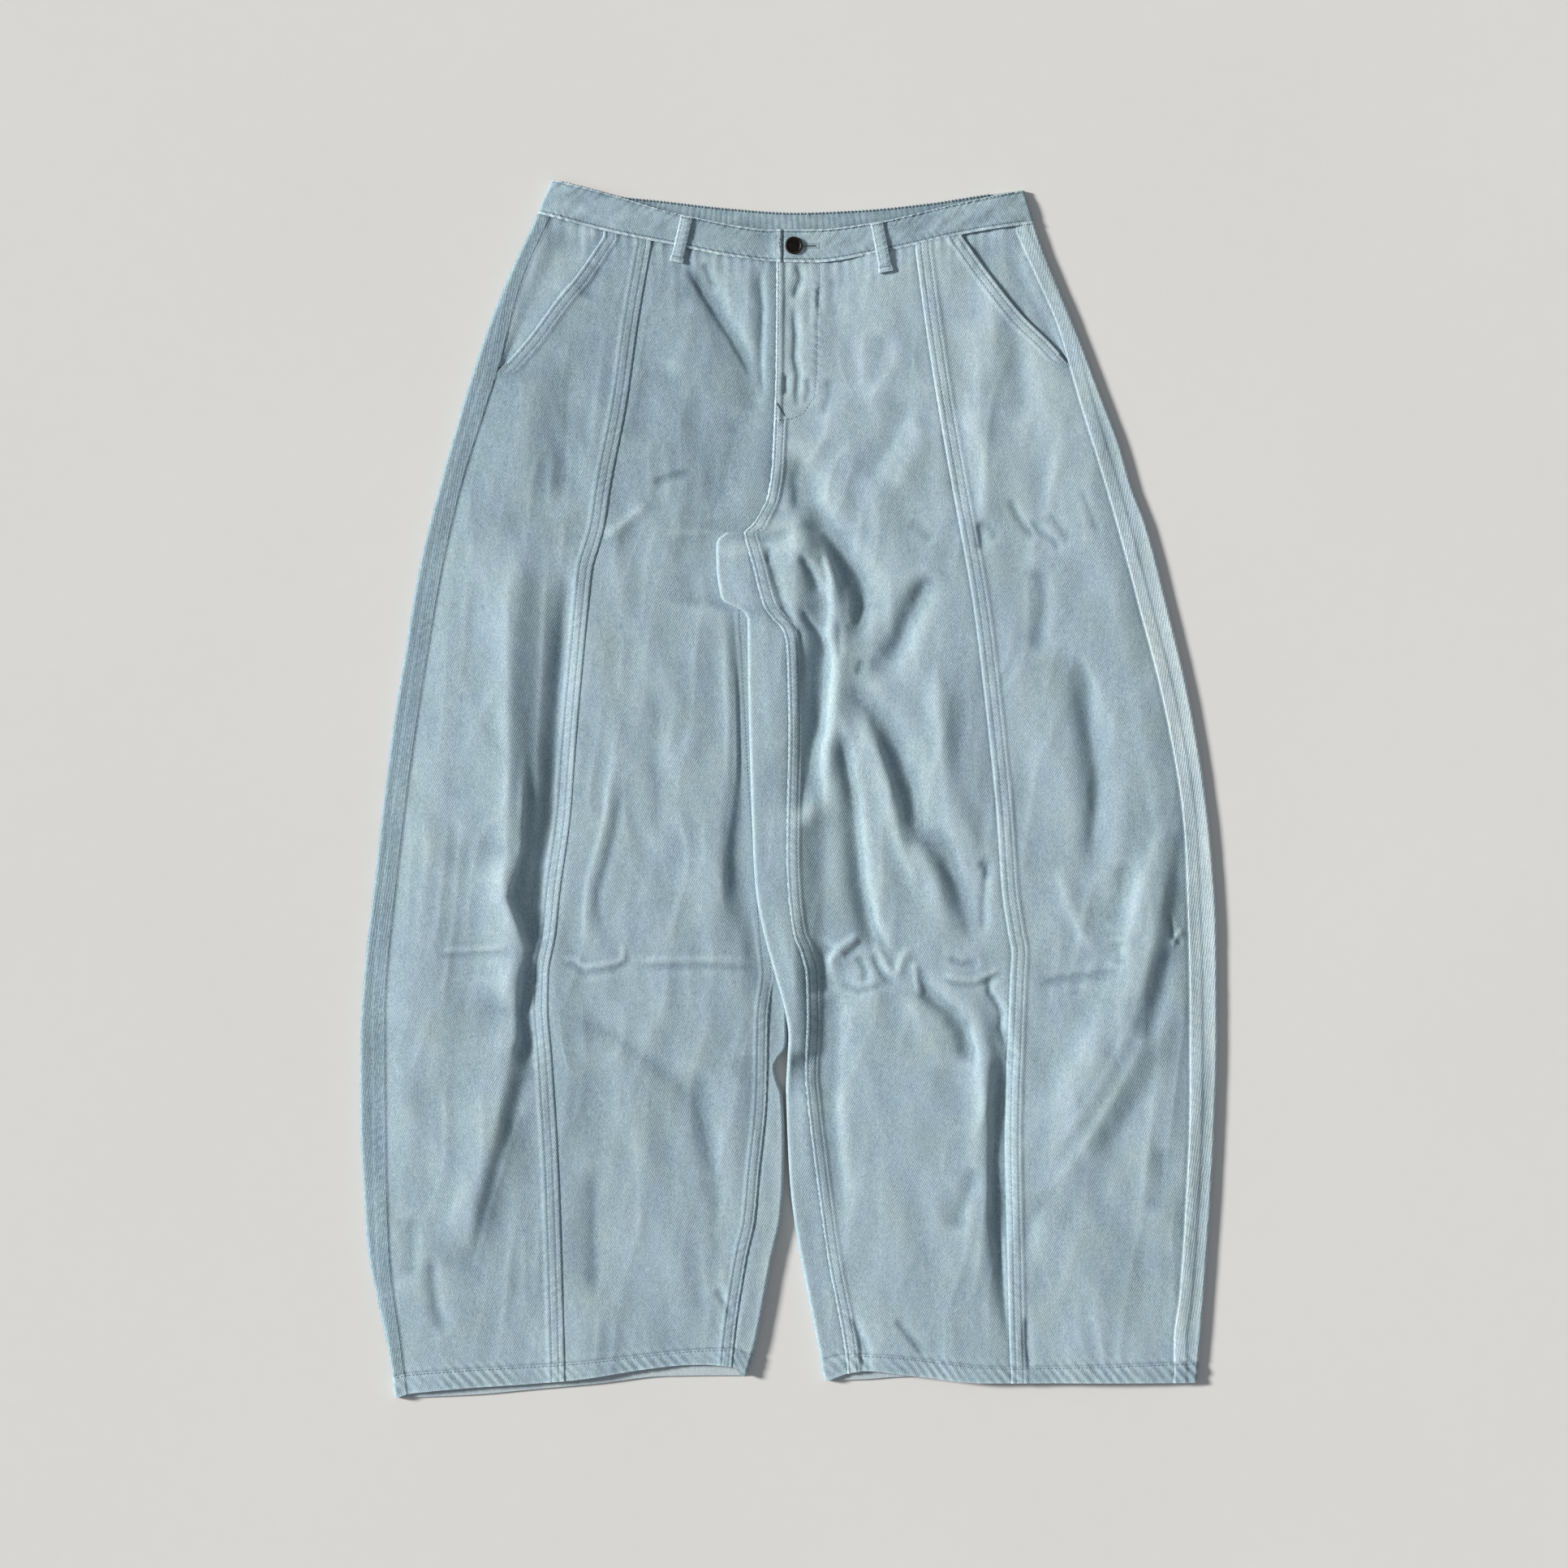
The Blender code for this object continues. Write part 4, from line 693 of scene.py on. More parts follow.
# How much paler the edge of a seam is and its ripples are, and how much darker its rows and the
# cloth right beside it are: painted shade in the grooves of the rows and under the lapped edge
EDGE_WEAR = {"pocket": 0.75}
PLAIN_EDGE_WEAR = 0.38
ROPE_WEAR = 0.14
ROW_PAINTED_SHADE = 0.36
BESIDE_PAINTED_SHADE = 0.8
FLY_PATH = ((4, 301), (12, 305), (21, 319), (23, 344), (23, 379), (25, 414), (25, 436))
FLY_STITCH = Fold(-STITCH_GROOVE, 0.9, 0.9, FLY_PATH)
# Puckers at the waist seam, as (height, pitch, reach), in the hem, as (height, pitch), and
# along the fly, as (height, x, lowest y, highest y)
WAIST_PUCKER = (0.32, 9.0, 16.0)
HEM_PUCKER = (0.45, 8.5)
HEM_SLANT = 0.9
HEM_MIDDLE = -8.0
FLY_PUCKER = (0.25, 24.0, 335.0, 430.0)


def seam_distance(leg, line, x, y, step=2.0):
    """Signed distance from a named line, positive on its outer side."""
    here = line_x(leg, line, y)
    slope = (line_x(leg, line, y + step) - line_x(leg, line, y - step)) / (2 * step)
    return SIGN[leg] * (x - here) / np.sqrt(1 + slope**2)


def rope(d, along, seed):
    """The slanting ripple of a seam that has shrunk a little."""
    wander = 1.6 * noise_along(along, 23.0, seed)
    ripple = np.sin(2 * np.pi * (along + ROPE_LEAN * d) / ROPE_PITCH + 2.5 * wander)
    return ripple * (0.45 + 0.55 * noise_along(along, 17.0, seed + 5))


def seam_relief(seam, x, y):
    """Height that a seam adds, and its tone: paler edges and ripples, with painted shade in its
    stitch grooves and on the cloth beside its lapped edge.
    """
    d = seam_distance(seam.leg, seam.line, x, y) * seam.side
    within = smooth((y - seam.low) / 5 + 0.5) * smooth((seam.high - y) / 5 + 0.5)
    up = seam.rise * smooth((d + 0.45) / 1.4) * (1 - smooth((d - seam.width) / 3.5))
    edge = EDGE_WEAR.get(seam.line, PLAIN_EDGE_WEAR)
    seam_wear_and_shade = edge * bump(d, 0.6, 0.9) + 0.06 * bump(d, seam.width * 0.5, seam.width * 0.5)
    ripple = rope(d, y, len(seam.line)) * bump(d, seam.width * 0.45, seam.width * 0.65)
    up += seam.rope * ripple
    seam_wear_and_shade += ROPE_WEAR * ripple * (seam.rope > 0)
    for at in seam.stitches:
        groove = bump(d, at, GROOVE_WIDTH)
        up -= STITCH_GROOVE * groove
        # Painted shade in the groove of each row of stitches
        seam_wear_and_shade -= ROW_PAINTED_SHADE * groove
    down = -seam.dip * np.exp(np.minimum(d, 0) / 2.4)
    down = down + 0.4 * seam.rope * rope(d, y, 9) * bump(d, -4.0, 5.0)
    # Painted shade on the lower cloth right beside the lapped edge
    painted_shade_beside = -BESIDE_PAINTED_SHADE * np.exp(np.minimum(d, 0) / 1.2)
    on_upper = d >= 0
    return np.where(on_upper, up, down) * within, np.where(on_upper, seam_wear_and_shade, painted_shade_beside) * within


def relief(leg, x, y):
    """Height of small unevenness, seams and puckers on the upper layer, and its tone shift, which
    holds fading and pale edges, and painted shade in grooves and along seams.
    """
    height = layered(GRAIN, x + NOISE_LEAN * y, y)
    wear_and_shading = layered(FADE, x, y)
    for seam in SEAMS:
        if seam.leg == leg:
            up, seam_wear_and_shade = seam_relief(seam, x, y)
            height, wear_and_shading = height + up, wear_and_shading + seam_wear_and_shade
    if leg == "left":
        stitched = fold_height(FLY_STITCH, x, y)
        # Darker along the fly's stitch row: painted shade in its groove
        height, wear_and_shading = height + stitched, wear_and_shading + stitched * 0.9
        strength, middle, low, high = FLY_PUCKER
        within = smooth((y - low) / 8) * smooth((high - y) / 8)
        ripple = rope(x - middle, y, 7) * bump(x, middle, 4.5) * within
        height, wear_and_shading = height + strength * ripple, wear_and_shading + 0.25 * ripple
    strength, pitch, reach = WAIST_PUCKER
    below = curve(WAIST_SEAM["over"], x) - y
    ripple = np.sin(2 * np.pi * x / pitch + 2.4 * noise_along(x, 21.0, 31))
    ripple = ripple * (0.6 + 0.5 * noise(x, y, 14.0, 40.0, 32)) * np.exp(-np.abs(below) / reach)
    height = height + strength * ripple - 0.5 * np.exp(-np.abs(below) / 2.2)
    # Darker along the waist seam, beneath the band's edge: painted shade
    wear_and_shading = wear_and_shading + 0.25 * ripple - 0.7 * np.exp(-np.abs(below) / 1.8)
    strength, pitch = HEM_PUCKER
    above = y - curve(HEM_SEAM[leg]["over"], x)
    slant = x + HEM_SLANT * above
    ripple = np.sin(2 * np.pi * slant / pitch + 2.2 * noise_along(x, 25.0, 41))
    ripple = ripple * (0.65 + 0.5 * noise_along(x, 18.0, 42))
    in_hem, at_seam = bump(above, HEM_MIDDLE, 10.0), bump(above, 0, 0.9)
    height = height + strength * ripple * in_hem - 0.45 * at_seam
    # Darker at the hem seam: painted shade in its groove
    wear_and_shading = wear_and_shading + 0.55 * ripple * in_hem - 0.35 * at_seam
    edge = y - curve(HEM_EDGE[leg]["over"], x)
    wear_and_shading = wear_and_shading + 0.7 * bump(edge, 0.3, 1.1)
    if leg == "right":
        open_to = curve(LINES["left"]["inner"], np.minimum(y, ROW_CROTCH)) - x
        shown = np.where(y < LIFT_TOP["under"], smooth((open_to - 1.5) / COVER_CALM), 1.0)
        height = height * shown
    return height, wear_and_shading


UP_STEEPNESS = 1.6
UP_START = 0.3


def unit(vectors):
    return vectors / np.maximum(np.linalg.norm(vectors, axis=-1, keepdims=True), 1e-12)


def place_of(values, value):
    return int(np.flatnonzero(values == value)[0])


def facing_up(normal):
    """1 where the cloth faces up and 0 where it faces down, with a soft step between."""
    return smooth(normal[..., 2] * UP_STEEPNESS - UP_START)


def grid_normals(points, turn):
    """Unit normals of a grid whose rows run down and whose columns run across."""
    across = np.gradient(points, axis=1)
    up = -np.gradient(points, axis=0)
    return unit(np.cross(across, up)) * turn


EDGES = {"l": (np.s_[:, 0], np.s_[:, 1]), "r": (np.s_[:, -1], np.s_[:, -2]),
         "t": (np.s_[0], np.s_[1]), "b": (np.s_[-1], np.s_[-2])}


def move_edges(points, sides, distance):
    """Moves the named edges of a grid outwards along the grid, to lap over a neighbour."""
    for side in sides:
        edge, inner = EDGES[side]
        points[edge] += unit(points[edge] - points[inner]) * distance


def spaced(width, start, end, wide=2.0, fine=0.7, reach=13.0):
    """Fractions of a stretch, close together near a start or an end that has a seam."""
    t = np.linspace(0, width, 2001)
    near = start * (1 - smooth((t - reach) / reach))
    near = np.maximum(near, end * (1 - smooth((width - t - reach) / reach)))
    count = np.concatenate([[0], np.cumsum(1 / mix(wide, fine, near[1:]))]) * (t[1] - t[0])
    steps = int(np.ceil(count[-1]))
    return np.interp(np.linspace(0, count[-1], steps + 1), count, t) / width


def fan(path, start, end):
    """Triangles between a fine edge and a coarse one that goes from start to end."""
    half = (len(path) - 1) // 2
    faces = [[path[k + 1], path[k], start] for k in range(half)]
    faces.append([path[half], start, end])
    faces += [[path[k + 1], path[k], end] for k in range(half, len(path) - 1)]
    return faces


def closed_shell(outer, inner, rows, columns, cells=None, ring=False):
    """Vertices and faces of the wall between a fine outer grid and a coarse inner one.

    rows and columns are the steps of the fine grid that the coarse one keeps."""
    tall, wide = outer.shape[:2]
    if cells is None:
        cells = np.ones((tall - 1, wide - 1), bool)
    fine = np.arange(tall * wide).reshape(tall, wide)
    coarse = tall * wide + np.arange(len(rows) * len(columns)).reshape(len(rows), -1)
    if ring:
        fine[:, -1], coarse[:, -1] = fine[:, 0], coarse[:, 0]
    i, j = np.nonzero(cells)
    faces = np.stack([fine[i, j], fine[i + 1, j], fine[i + 1, j + 1], fine[i, j + 1]], 1).tolist()
    outer_count = len(faces)
    kept = cells[np.ix_(rows[:-1], columns[:-1])]

    def full(a, b):
        if ring:
            b %= kept.shape[1]
        return 0 <= a < kept.shape[0] and 0 <= b < kept.shape[1] and kept[a, b]

    for a, b in np.argwhere(kept):
        corners = ((a, b), (a + 1, b), (a + 1, b + 1), (a, b + 1))
        faces.append([coarse[c] for c in reversed(corners)])
        top, bottom = rows[a], rows[a + 1]
        near, far = columns[b], columns[b + 1]
        paths = (fine[top:bottom + 1, near], fine[bottom, near:far + 1],
                 fine[top:bottom + 1, far][::-1], fine[top, near:far + 1][::-1])
        beside = ((a, b - 1), (a + 1, b), (a, b + 1), (a - 1, b))
        for side, cell in enumerate(beside):
            if not full(*cell):
                start, end = coarse[corners[side]], coarse[corners[(side + 1) % 4]]
                faces += fan(paths[side], start, end)
    vertices = np.concatenate([outer.reshape(-1, 3), inner.reshape(-1, 3)])
    return vertices, faces, outer_count


def add_mesh(name, vertices, faces, materials, wear_and_shading=None, outer_count=None):
    """A mesh object whose faces point out of its wall. The first faces are the outer side and
    take the first material, and the others the last one."""
    used, where = np.unique(np.concatenate([np.ravel(f) for f in faces]), return_inverse=True)
    sizes = [len(f) for f in faces]
    where = where.tolist()
    faces, at = [], 0
    for size in sizes:
        faces.append(where[at:at + size])
        at += size
    points = vertices[used]
    a, b, c = (points[[f[k] for f in faces]] for k in range(3))
    d = points[[f[3] if len(f) == 4 else f[0] for f in faces]]
    volume = np.einsum("ij,ij->", a, np.cross(b, c)) + np.einsum("ij,ij->", a, np.cross(c, d))
    if volume < 0:
        faces = [f[::-1] for f in faces]
    mesh = bpy.data.meshes.new(name)
    mesh.from_pydata((points * MM).tolist(), [], faces)
    mesh.shade_smooth()
    mesh.set_sharp_from_angle(angle=np.radians(SHARP_ANGLE))
    for made in materials:
        mesh.materials.append(made)
    if len(materials) > 1:
        index = np.ones(len(faces), np.int32)
        index[:outer_count] = 0
        mesh.polygons.foreach_set("material_index", index)
    if wear_and_shading is not None:
        full = np.zeros(len(vertices), np.float32)
        full[:wear_and_shading.size] = wear_and_shading.ravel()
        layer_data = mesh.attributes.new("wear_and_shading", "FLOAT", "POINT")
        layer_data.data.foreach_set("value", full[used])
    piece = bpy.data.objects.new(name, mesh)
    bpy.context.scene.collection.objects.link(piece)
    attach(piece, "root")
    return piece


def blurred(field, rows, columns):
    """Local mean of a grid over a window of the given half sizes."""
    for axis, half in ((0, rows), (1, columns)):
        padded = np.pad(field, [(half, half) if k == axis else (0, 0) for k in (0, 1)], "edge")
        total = np.cumsum(padded, axis=axis)
        total = np.concatenate([np.zeros_like(np.take(total, [0], axis)), total], axis)
        size = 2 * half + 1
        count = field.shape[axis]
        field = (np.take(total, range(size, size + count), axis)
                 - np.take(total, range(count), axis)) / size
    return field


def thinned(count, knots, step=3):
    """Steps of a fine grid that its inner side keeps."""
    return np.array(sorted(set(range(0, count, step)) | set(knots) | {count - 1}))


def shell_piece(node, outer, inner, rows, columns, wear_and_shading, materials=None,
                cells=None, ring=False):
    """The cloth that stands for a node: a closed shell between two grids. Its inner side
    keeps only the given rows and columns."""
    inner = inner[np.ix_(rows, columns)]
    vertices, faces, count = closed_shell(outer, inner, rows, columns, cells, ring)
    piece = add_mesh(f"cloth_{node}", vertices, faces, materials or cloth_materials(), wear_and_shading,
                     count)
    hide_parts(node)
    return piece


ROW_STEP = 2.0
ROWS_FINE = np.arange(ROW_TOP, ROW_BOTTOM - ROW_STEP / 2, -ROW_STEP)
# Painted highlight on crests and painted shade in hollows of the cloth, as strength and the height
# above or below the local mean that gives full strength
CREST_PAINTED_LIGHT = 0.275
CREST_HEIGHT = 0.25
RIDGE_PAINTED_LIGHT = 0.22
RIDGE_HEIGHT = 0.8
EVEN_TONE = ((-480, 0.0), (480, 0.0))
FACING_RAMP = 0.4
FACING_RISE = 22.0
SEAM_LAP = 0.35
BAND_LAP = 0.9
# Least depth of a panel's inner face below its outer one in a sharp hollow
INNER_CLEARANCE = 0.35


def clearance_lack(inner_z, outer_z, rows, columns):
    """How much the coarse inner grid has to sink at each kept place, so that its straight
    cells stay under the fine outer one in sharp hollows."""
    tall, wide = inner_z.shape
    across = [np.interp(np.arange(wide), columns, inner_z[row, columns]) for row in rows]
    coarse = np.stack([np.interp(np.arange(tall), rows, line) for line in np.array(across).T], 1)
    lack = np.maximum(coarse + INNER_CLEARANCE - outer_z, 0.0)
    for axis in (0, 1):
        lack = np.max([np.roll(lack, k, axis) for k in range(-3, 4)], axis=0)
    return lack[np.ix_(rows, columns)]


def cloth_piece(node, leg, route, columns, knots, rows=ROWS_FINE, drop=0.0, cells=None,
                laps="", tone=EVEN_TONE):
    """A patch of a leg, from one named line to another, as a thin closed shell.

    laps names the edges that lie over a neighbour."""
    u, n = np.meshgrid(columns, rows)
    base = surface(leg, route, u, n)
    normal = grid_normals(base, -SIGN[leg])
    near_band = smooth((base[..., 1] - curve(WAIST_SEAM["over"], base[..., 0])) / FACING_RISE + 1)
    sunk = smooth(u / FACING_RAMP) * (1 - 0.8 * near_band * smooth((1 - u) / 0.3))
    base = base - normal * (drop * sunk)[..., None]
    x, y, z = base[..., 0], base[..., 1], base[..., 2]
    height, wear_and_shading = relief(leg, x, y)
    upper = facing_up(normal)
    crest = (z + height) - blurred(z + height, 3, 3)
    ridge = z - blurred(z, 9, 9)
    # Paler where the cloth stands above its surroundings and darker where it sinks below: painted
    # highlight and painted shade
    wear_and_shading = wear_and_shading + CREST_PAINTED_LIGHT * np.clip(crest / CREST_HEIGHT, -1, 1)
    wear_and_shading = wear_and_shading + RIDGE_PAINTED_LIGHT * np.clip(ridge / RIDGE_HEIGHT, -1, 1)
    wear_and_shading = wear_and_shading * upper + layered(UNDER_FADE, x, y) * (1 - upper)
    wear_and_shading = wear_and_shading + curve(tone, y)
    outer = base + normal * (height * upper)[..., None]
    move_edges(outer, laps, SEAM_LAP)
    crotch = [place_of(rows, ROW_CROTCH)] if ROW_CROTCH in rows else []
    rows_kept, columns_kept = thinned(len(rows), crotch), thinned(len(columns), knots)
    inner = base - normal * WALL
    kept = np.ix_(rows_kept, columns_kept)
    lack = clearance_lack(z - WALL, outer[..., 2], rows_kept, columns_kept)
    inner[(*kept, 2)] -= lack * upper[kept]
    face = "denim_turned" if node.startswith("back_side") else "denim"
    return shell_piece(node, outer, inner, rows_kept, columns_kept, wear_and_shading,
                       cloth_materials(face), cells=cells)


def stretches(*parts):
    """Columns of a route from the fractions of its stretches, and where each one starts."""
    columns = np.concatenate([np.asarray(part)[:-1] + k for k, part in enumerate(parts)]
                             + [[float(len(parts))]])
    knots = [place_of(columns, k) for k in range(len(parts) + 1)]
    return columns, knots


PANEL_WIDTH = {"front_centre": 184.0, "front_side": 150.0, "back": 180.0}
STRIP_WIDTH = {"right": 30.0, "left": 46.0}
TURN_STEPS = 8


def leg_columns(leg):
    """Columns of each panel of a leg, as {panel: (route, columns, knots)}."""
    turn = np.linspace(0, 1, TURN_STEPS + 1)
    hidden = spaced(PANEL_WIDTH["back"], 0, 0, wide=5.0)
    hidden_fork = np.linspace(0, 1, 3 if leg == "right" else 12)
    return {
        "front_centre": (("panel", "inseam"),
                         *stretches(spaced(PANEL_WIDTH["front_centre"], 1, 1))),
        "front_side": (("pocket_edge", "panel"),
                       *stretches(spaced(PANEL_WIDTH["front_side"], 0.75, 1))),
        "back_side": (("back", "outer_under", "outer_over", "side"),
                      *stretches(hidden, turn, spaced(24.0, 0, 1, wide=1.5))),
        "back_centre": (("inseam", "inner_over", "inner_under", "fork", "back"),
                        *stretches(spaced(STRIP_WIDTH[leg], 1, 0, wide=1.6), turn,
                                   hidden_fork, hidden)),
    }


# Edges of each panel that lie over a neighbour, and how much paler a panel is than the rest,
# as (y, paler)
LAPS = {"front_centre": "r", "front_side": "r", "back_side": "r"}
PANEL_TONE = {
    ("front_centre", "right"): ((180, 0.0), (290, -0.3), (470, -0.2)),
    ("front_side", "right"): ((180, 0.0), (290, -0.35), (470, -0.3)),
    ("front_centre", "left"): ((180, 0.0), (290, 0.25), (470, 0.3)),
    ("front_side", "left"): ((180, 0.1), (290, 0.45), (470, 0.4)),
    ("back_side", "right"): ((-480, -0.70), (480, -0.75)),
    ("back_side", "left"): ((-480, 0.7), (-100, 1.0), (100, 1.2), (250, 0.7), (470, 0.3)),
    ("back_centre", "right"): ((-300, 0.35), (-200, 0.0)),
}
FACING_WIDTH = 20.0
FACING_FOOT = 340.0


def add_leg(leg):
    """The four panels of one leg and its pocket facing."""
    made = {}
    for panel, (route, columns, knots) in leg_columns(leg).items():
        cells = None
        if panel == "back_centre":
            cells = np.ones((len(ROWS_FINE) - 1, len(columns) - 1), bool)
            cells[:place_of(ROWS_FINE, ROW_CROTCH), :knots[3]] = False
        made[panel] = cloth_piece(f"{panel}_{leg}", leg, route, columns, knots, cells=cells,
                                  laps=LAPS.get(panel, ""),
                                  tone=PANEL_TONE.get((panel, leg), EVEN_TONE))
    columns, knots = stretches(spaced(FACING_WIDTH, 1, 0, wide=1.5))
    made["pocket_facing"] = cloth_piece(
        f"pocket_facing_{leg}", leg, ("side", "facing_end"), columns, knots,
        rows=ROWS_FINE[ROWS_FINE >= FACING_FOOT], drop=FACING_DROP)
    return made


HEM_ROUTE = ("back", "outer_under", "outer_over", "side", "panel", "inseam", "inner_over",
             "inner_under", "fork", "back")
HEM_ROWS = 11


def add_hem(leg):
    """The turned-up hem, a ring below the panels with a doubled wall."""
    panels = leg_columns(leg)
    side, centre = panels["back_side"][1], panels["back_centre"][1]
    columns = np.concatenate([
        side,
        panels["front_side"][1][1:] + HEM_ROUTE.index("side"),
        panels["front_centre"][1][1:] + HEM_ROUTE.index("panel"),
        centre[1:] + HEM_ROUTE.index("inseam"),
    ])
    knots = [place_of(columns, k) for k in range(len(HEM_ROUTE))]
    rows = np.linspace(ROW_BOTTOM, ROW_BOTTOM - HEM_DEPTH, HEM_ROWS)
    u, n = np.meshgrid(columns, rows)
    base = surface(leg, HEM_ROUTE, u, n)
    base[:, -1] = base[:, 0]
    normal = grid_normals(base, -SIGN[leg])
    normal[:, 0] = normal[:, -1] = unit(normal[:, 1])
    upper = facing_up(normal)
    step = HEM_STEP * smooth((ROW_BOTTOM - n - 1.0) / 4.0) * np.clip(normal[..., 2], 0, 1)
    base = base + normal * step[..., None]
    height, wear_and_shading = relief(leg, base[..., 0], base[..., 1])
    wear_and_shading = wear_and_shading * upper + 0.5 * (1 - upper) * (rows == rows[-1])[:, None]
    outer = base + normal * (height * upper)[..., None]
    return shell_piece(f"hem_{leg}", outer, base - normal * HEM_WALL, thinned(HEM_ROWS, [], 2),
                       thinned(len(columns), knots), wear_and_shading, ring=True)


def band_surface(leg, q, t):
    """Outer side of the waistband. q runs from its back end over the side fold to the
    front: below 1 it lies under, from 1 to 2 it turns, and above 2 it lies on top."""
    s = SIGN[leg]
    side = line_x(leg, "outer_over", curve(WAIST_SEAM["over"], s * HALF_WAIST))
    x_under = mix(BAND_WRAP[leg], side, np.clip(q, 0, 1))
    x_over = mix(side, BAND_END[leg], np.clip(q - 2, 0, 1))
    x = np.where(q < 1.5, x_under, x_over)
    lean = curve(BAND_LEAN, x) * t
    turn = np.clip(q - 1, 0, 1)
    seam = mix(curve(WAIST_SEAM["under"], x), curve(WAIST_SEAM["over"], x), turn)
    edge = mix(curve(BAND_EDGE["under"], x + lean), curve(BAND_EDGE["over"], x + lean), turn)
    angle = np.pi * (turn - 0.5)
    high = curve(BAND_HEIGHT[leg], x)
    z = high * (0.5 + 0.5 * np.sin(angle))
    x = x + lean + s * OUTER_RADIUS * np.cos(angle)
    return np.stack([x, mix(seam, edge, t), z], axis=-1)


SLIT_ROWS = (0.465, 0.505)
SLIT_NEIGHBOURS = (0.42, 0.445, 0.53, 0.56)
HOLE_CLEAR = 0.003
BAND_STITCH = 2.2
BAND_PLUMP = 0.35
BAND_LIP = 0.55
BAND_DARKER = 0.12
BAND_ROPE = (0.36, 6.4)
BAND_PALE_EDGE = 1.1
BAND_DARK_ROW = 0.85
# Folded end of the left half: how much it stands up, and how far its fold reaches in
BAND_END_RISE = 0.9
BAND_END_FOLD = 5.0
BAND_TALL = 27.0
BAND_ROWS = (0, 0.35, 0.75, 1.15, 1.6, 2.1, 2.7, 3.5, 4.6, 6.0, 7.7, 9.6, 11.6, 13.5)


def band_relief(leg, x, t):
    """Height of the waistband and its tone shift: a plump strip with a row of stitches at each
    side, pale edges, and painted shade in the grooves beside the rows.
    """
    tall = curve(BAND_EDGE["over"], x) - curve(WAIST_SEAM["over"], x)
    low, high = t * tall, (1 - t) * tall
    height = BAND_PLUMP * (1 - (2 * t - 1) ** 6)
    wear_and_shading = layered(BAND_FADE, x, low) - BAND_DARKER
    rope_height, pitch = BAND_ROPE
    for d, seed in ((low, 63), (high, 64)):
        ripple = np.sin(2 * np.pi * (x + 0.9 * d) / pitch + 3 * noise_along(x, 19.0, seed))
        ripple = ripple * (0.55 + 0.55 * noise_along(x, 13.0, seed + 4))
        near = np.exp(-d / 6.0)
        height = height + rope_height * ripple * near - STITCH_GROOVE * bump(d, BAND_STITCH, 0.7)
        # The darker row next to each stitch row is painted shade in its groove
        wear_and_shading = wear_and_shading + 0.30 * ripple * near - BAND_DARK_ROW * bump(d, BAND_STITCH - 0.4, 0.6)
        wear_and_shading = wear_and_shading + BAND_PALE_EDGE * bump(d, 0.5, 0.65)
    height = height + BAND_LIP * np.exp(-(low / 2.6) ** 2)
    height = height + layered(BAND_CRUMPLE, x - low, low)
    if leg == "left":
        d = x - BAND_END["left"]
        fold = bump(d, BAND_END_FOLD, 0.9)
        height = height + BAND_END_RISE * (1 - smooth((d - 3.6) / 1.6)) - 0.6 * fold
        # Pale at the end's edge, and darker in the fold of the end: painted shade
        wear_and_shading = wear_and_shading + 0.9 * bump(d, 1.5, 1.5) - 0.8 * fold
    return height, wear_and_shading


def add_front_band(leg):
    """One half of the front waistband, which turns round the side of the waist."""
    side = float(band_surface(leg, np.float64(2), np.float64(0))[0])
    columns = np.concatenate([np.linspace(0, 1, 7)[:-1], np.linspace(1, 2, 9)[:-1],
                              np.linspace(2, 3, 190)])
    near = np.array(BAND_ROWS) / BAND_TALL
    rows = np.concatenate([near, 1 - near[-2::-1]])
    cells, slit_columns = None, []
    if leg == "left":
        hole = [2 + (side - x) / (side - BAND_END[leg]) for x in reversed(BUTTONHOLE)]
        clear = np.all([np.abs(columns - x) > HOLE_CLEAR for x in hole], axis=0)
        columns = np.array(sorted(set(columns[clear]) | set(hole)))
        rows = np.array(sorted(set(rows[np.abs(rows - 0.49) > 0.09]) | set(SLIT_ROWS)
                               | set(SLIT_NEIGHBOURS)))
        cells = np.ones((len(rows) - 1, len(columns) - 1), bool)
        first, last = [place_of(rows, row) for row in SLIT_ROWS]
        slit_columns = [place_of(columns, x) for x in hole]
        cells[first:last, slice(*slit_columns)] = False
        cells = cells[::-1]
    q, t = np.meshgrid(columns, rows[::-1])
    base = band_surface(leg, q, t)
    normal = grid_normals(base, -SIGN[leg])
    move_edges(base, "l", -SEAM_GAP / 2)
    height, wear_and_shading = band_relief(leg, base[..., 0], t)
    if leg == "right":
        height = height * smooth((3 - q) / 0.12)
    upper = facing_up(normal)
    outer = base + normal * (height * upper)[..., None]
    move_edges(outer, "b", BAND_LAP)
    return shell_piece(f"waistband_front_{leg}", outer, base - normal * BAND_WALL,
                       np.arange(len(rows)), thinned(len(columns), slit_columns, 2),
                       wear_and_shading * upper, cells=cells)


PLEAT_PITCH = 5.4
BACK_TALL = 30
BACK_ROWS = 17
BACK_COLUMNS = 521


def gather_height(x, t):
    """Height of the gathered inner face of the elastic waistband, and its tone shift: random
    fading, with painted highlight on the pleats' crests and painted shade in their hollows.
    """
    phase = x / PLEAT_PITCH + 0.45 * noise_along(x, 17.0, 71)
    phase = phase + 0.25 * t * noise_along(x, 11.0, 72)
    pleat = np.abs(np.sin(np.pi * phase)) ** 0.7
    size = 0.75 + 0.35 * noise(x, t * 4, 9.0, 1.0, 73)
    edge = 0.35 * bump(1 - t, 0.02, 0.05)
    rows = 0.12 * np.sin(2 * np.pi * t * 4.5)
    height = GATHER_HEIGHT * (0.35 * pleat * size + edge + rows)
    # 0.10 * (pleat - 0.55) paints the pleats' crests paler and their hollows darker: painted
    # highlight and painted shade
    return height, 0.10 * (pleat - 0.55) + layered(GATHER_FADE, x, t * BACK_TALL)


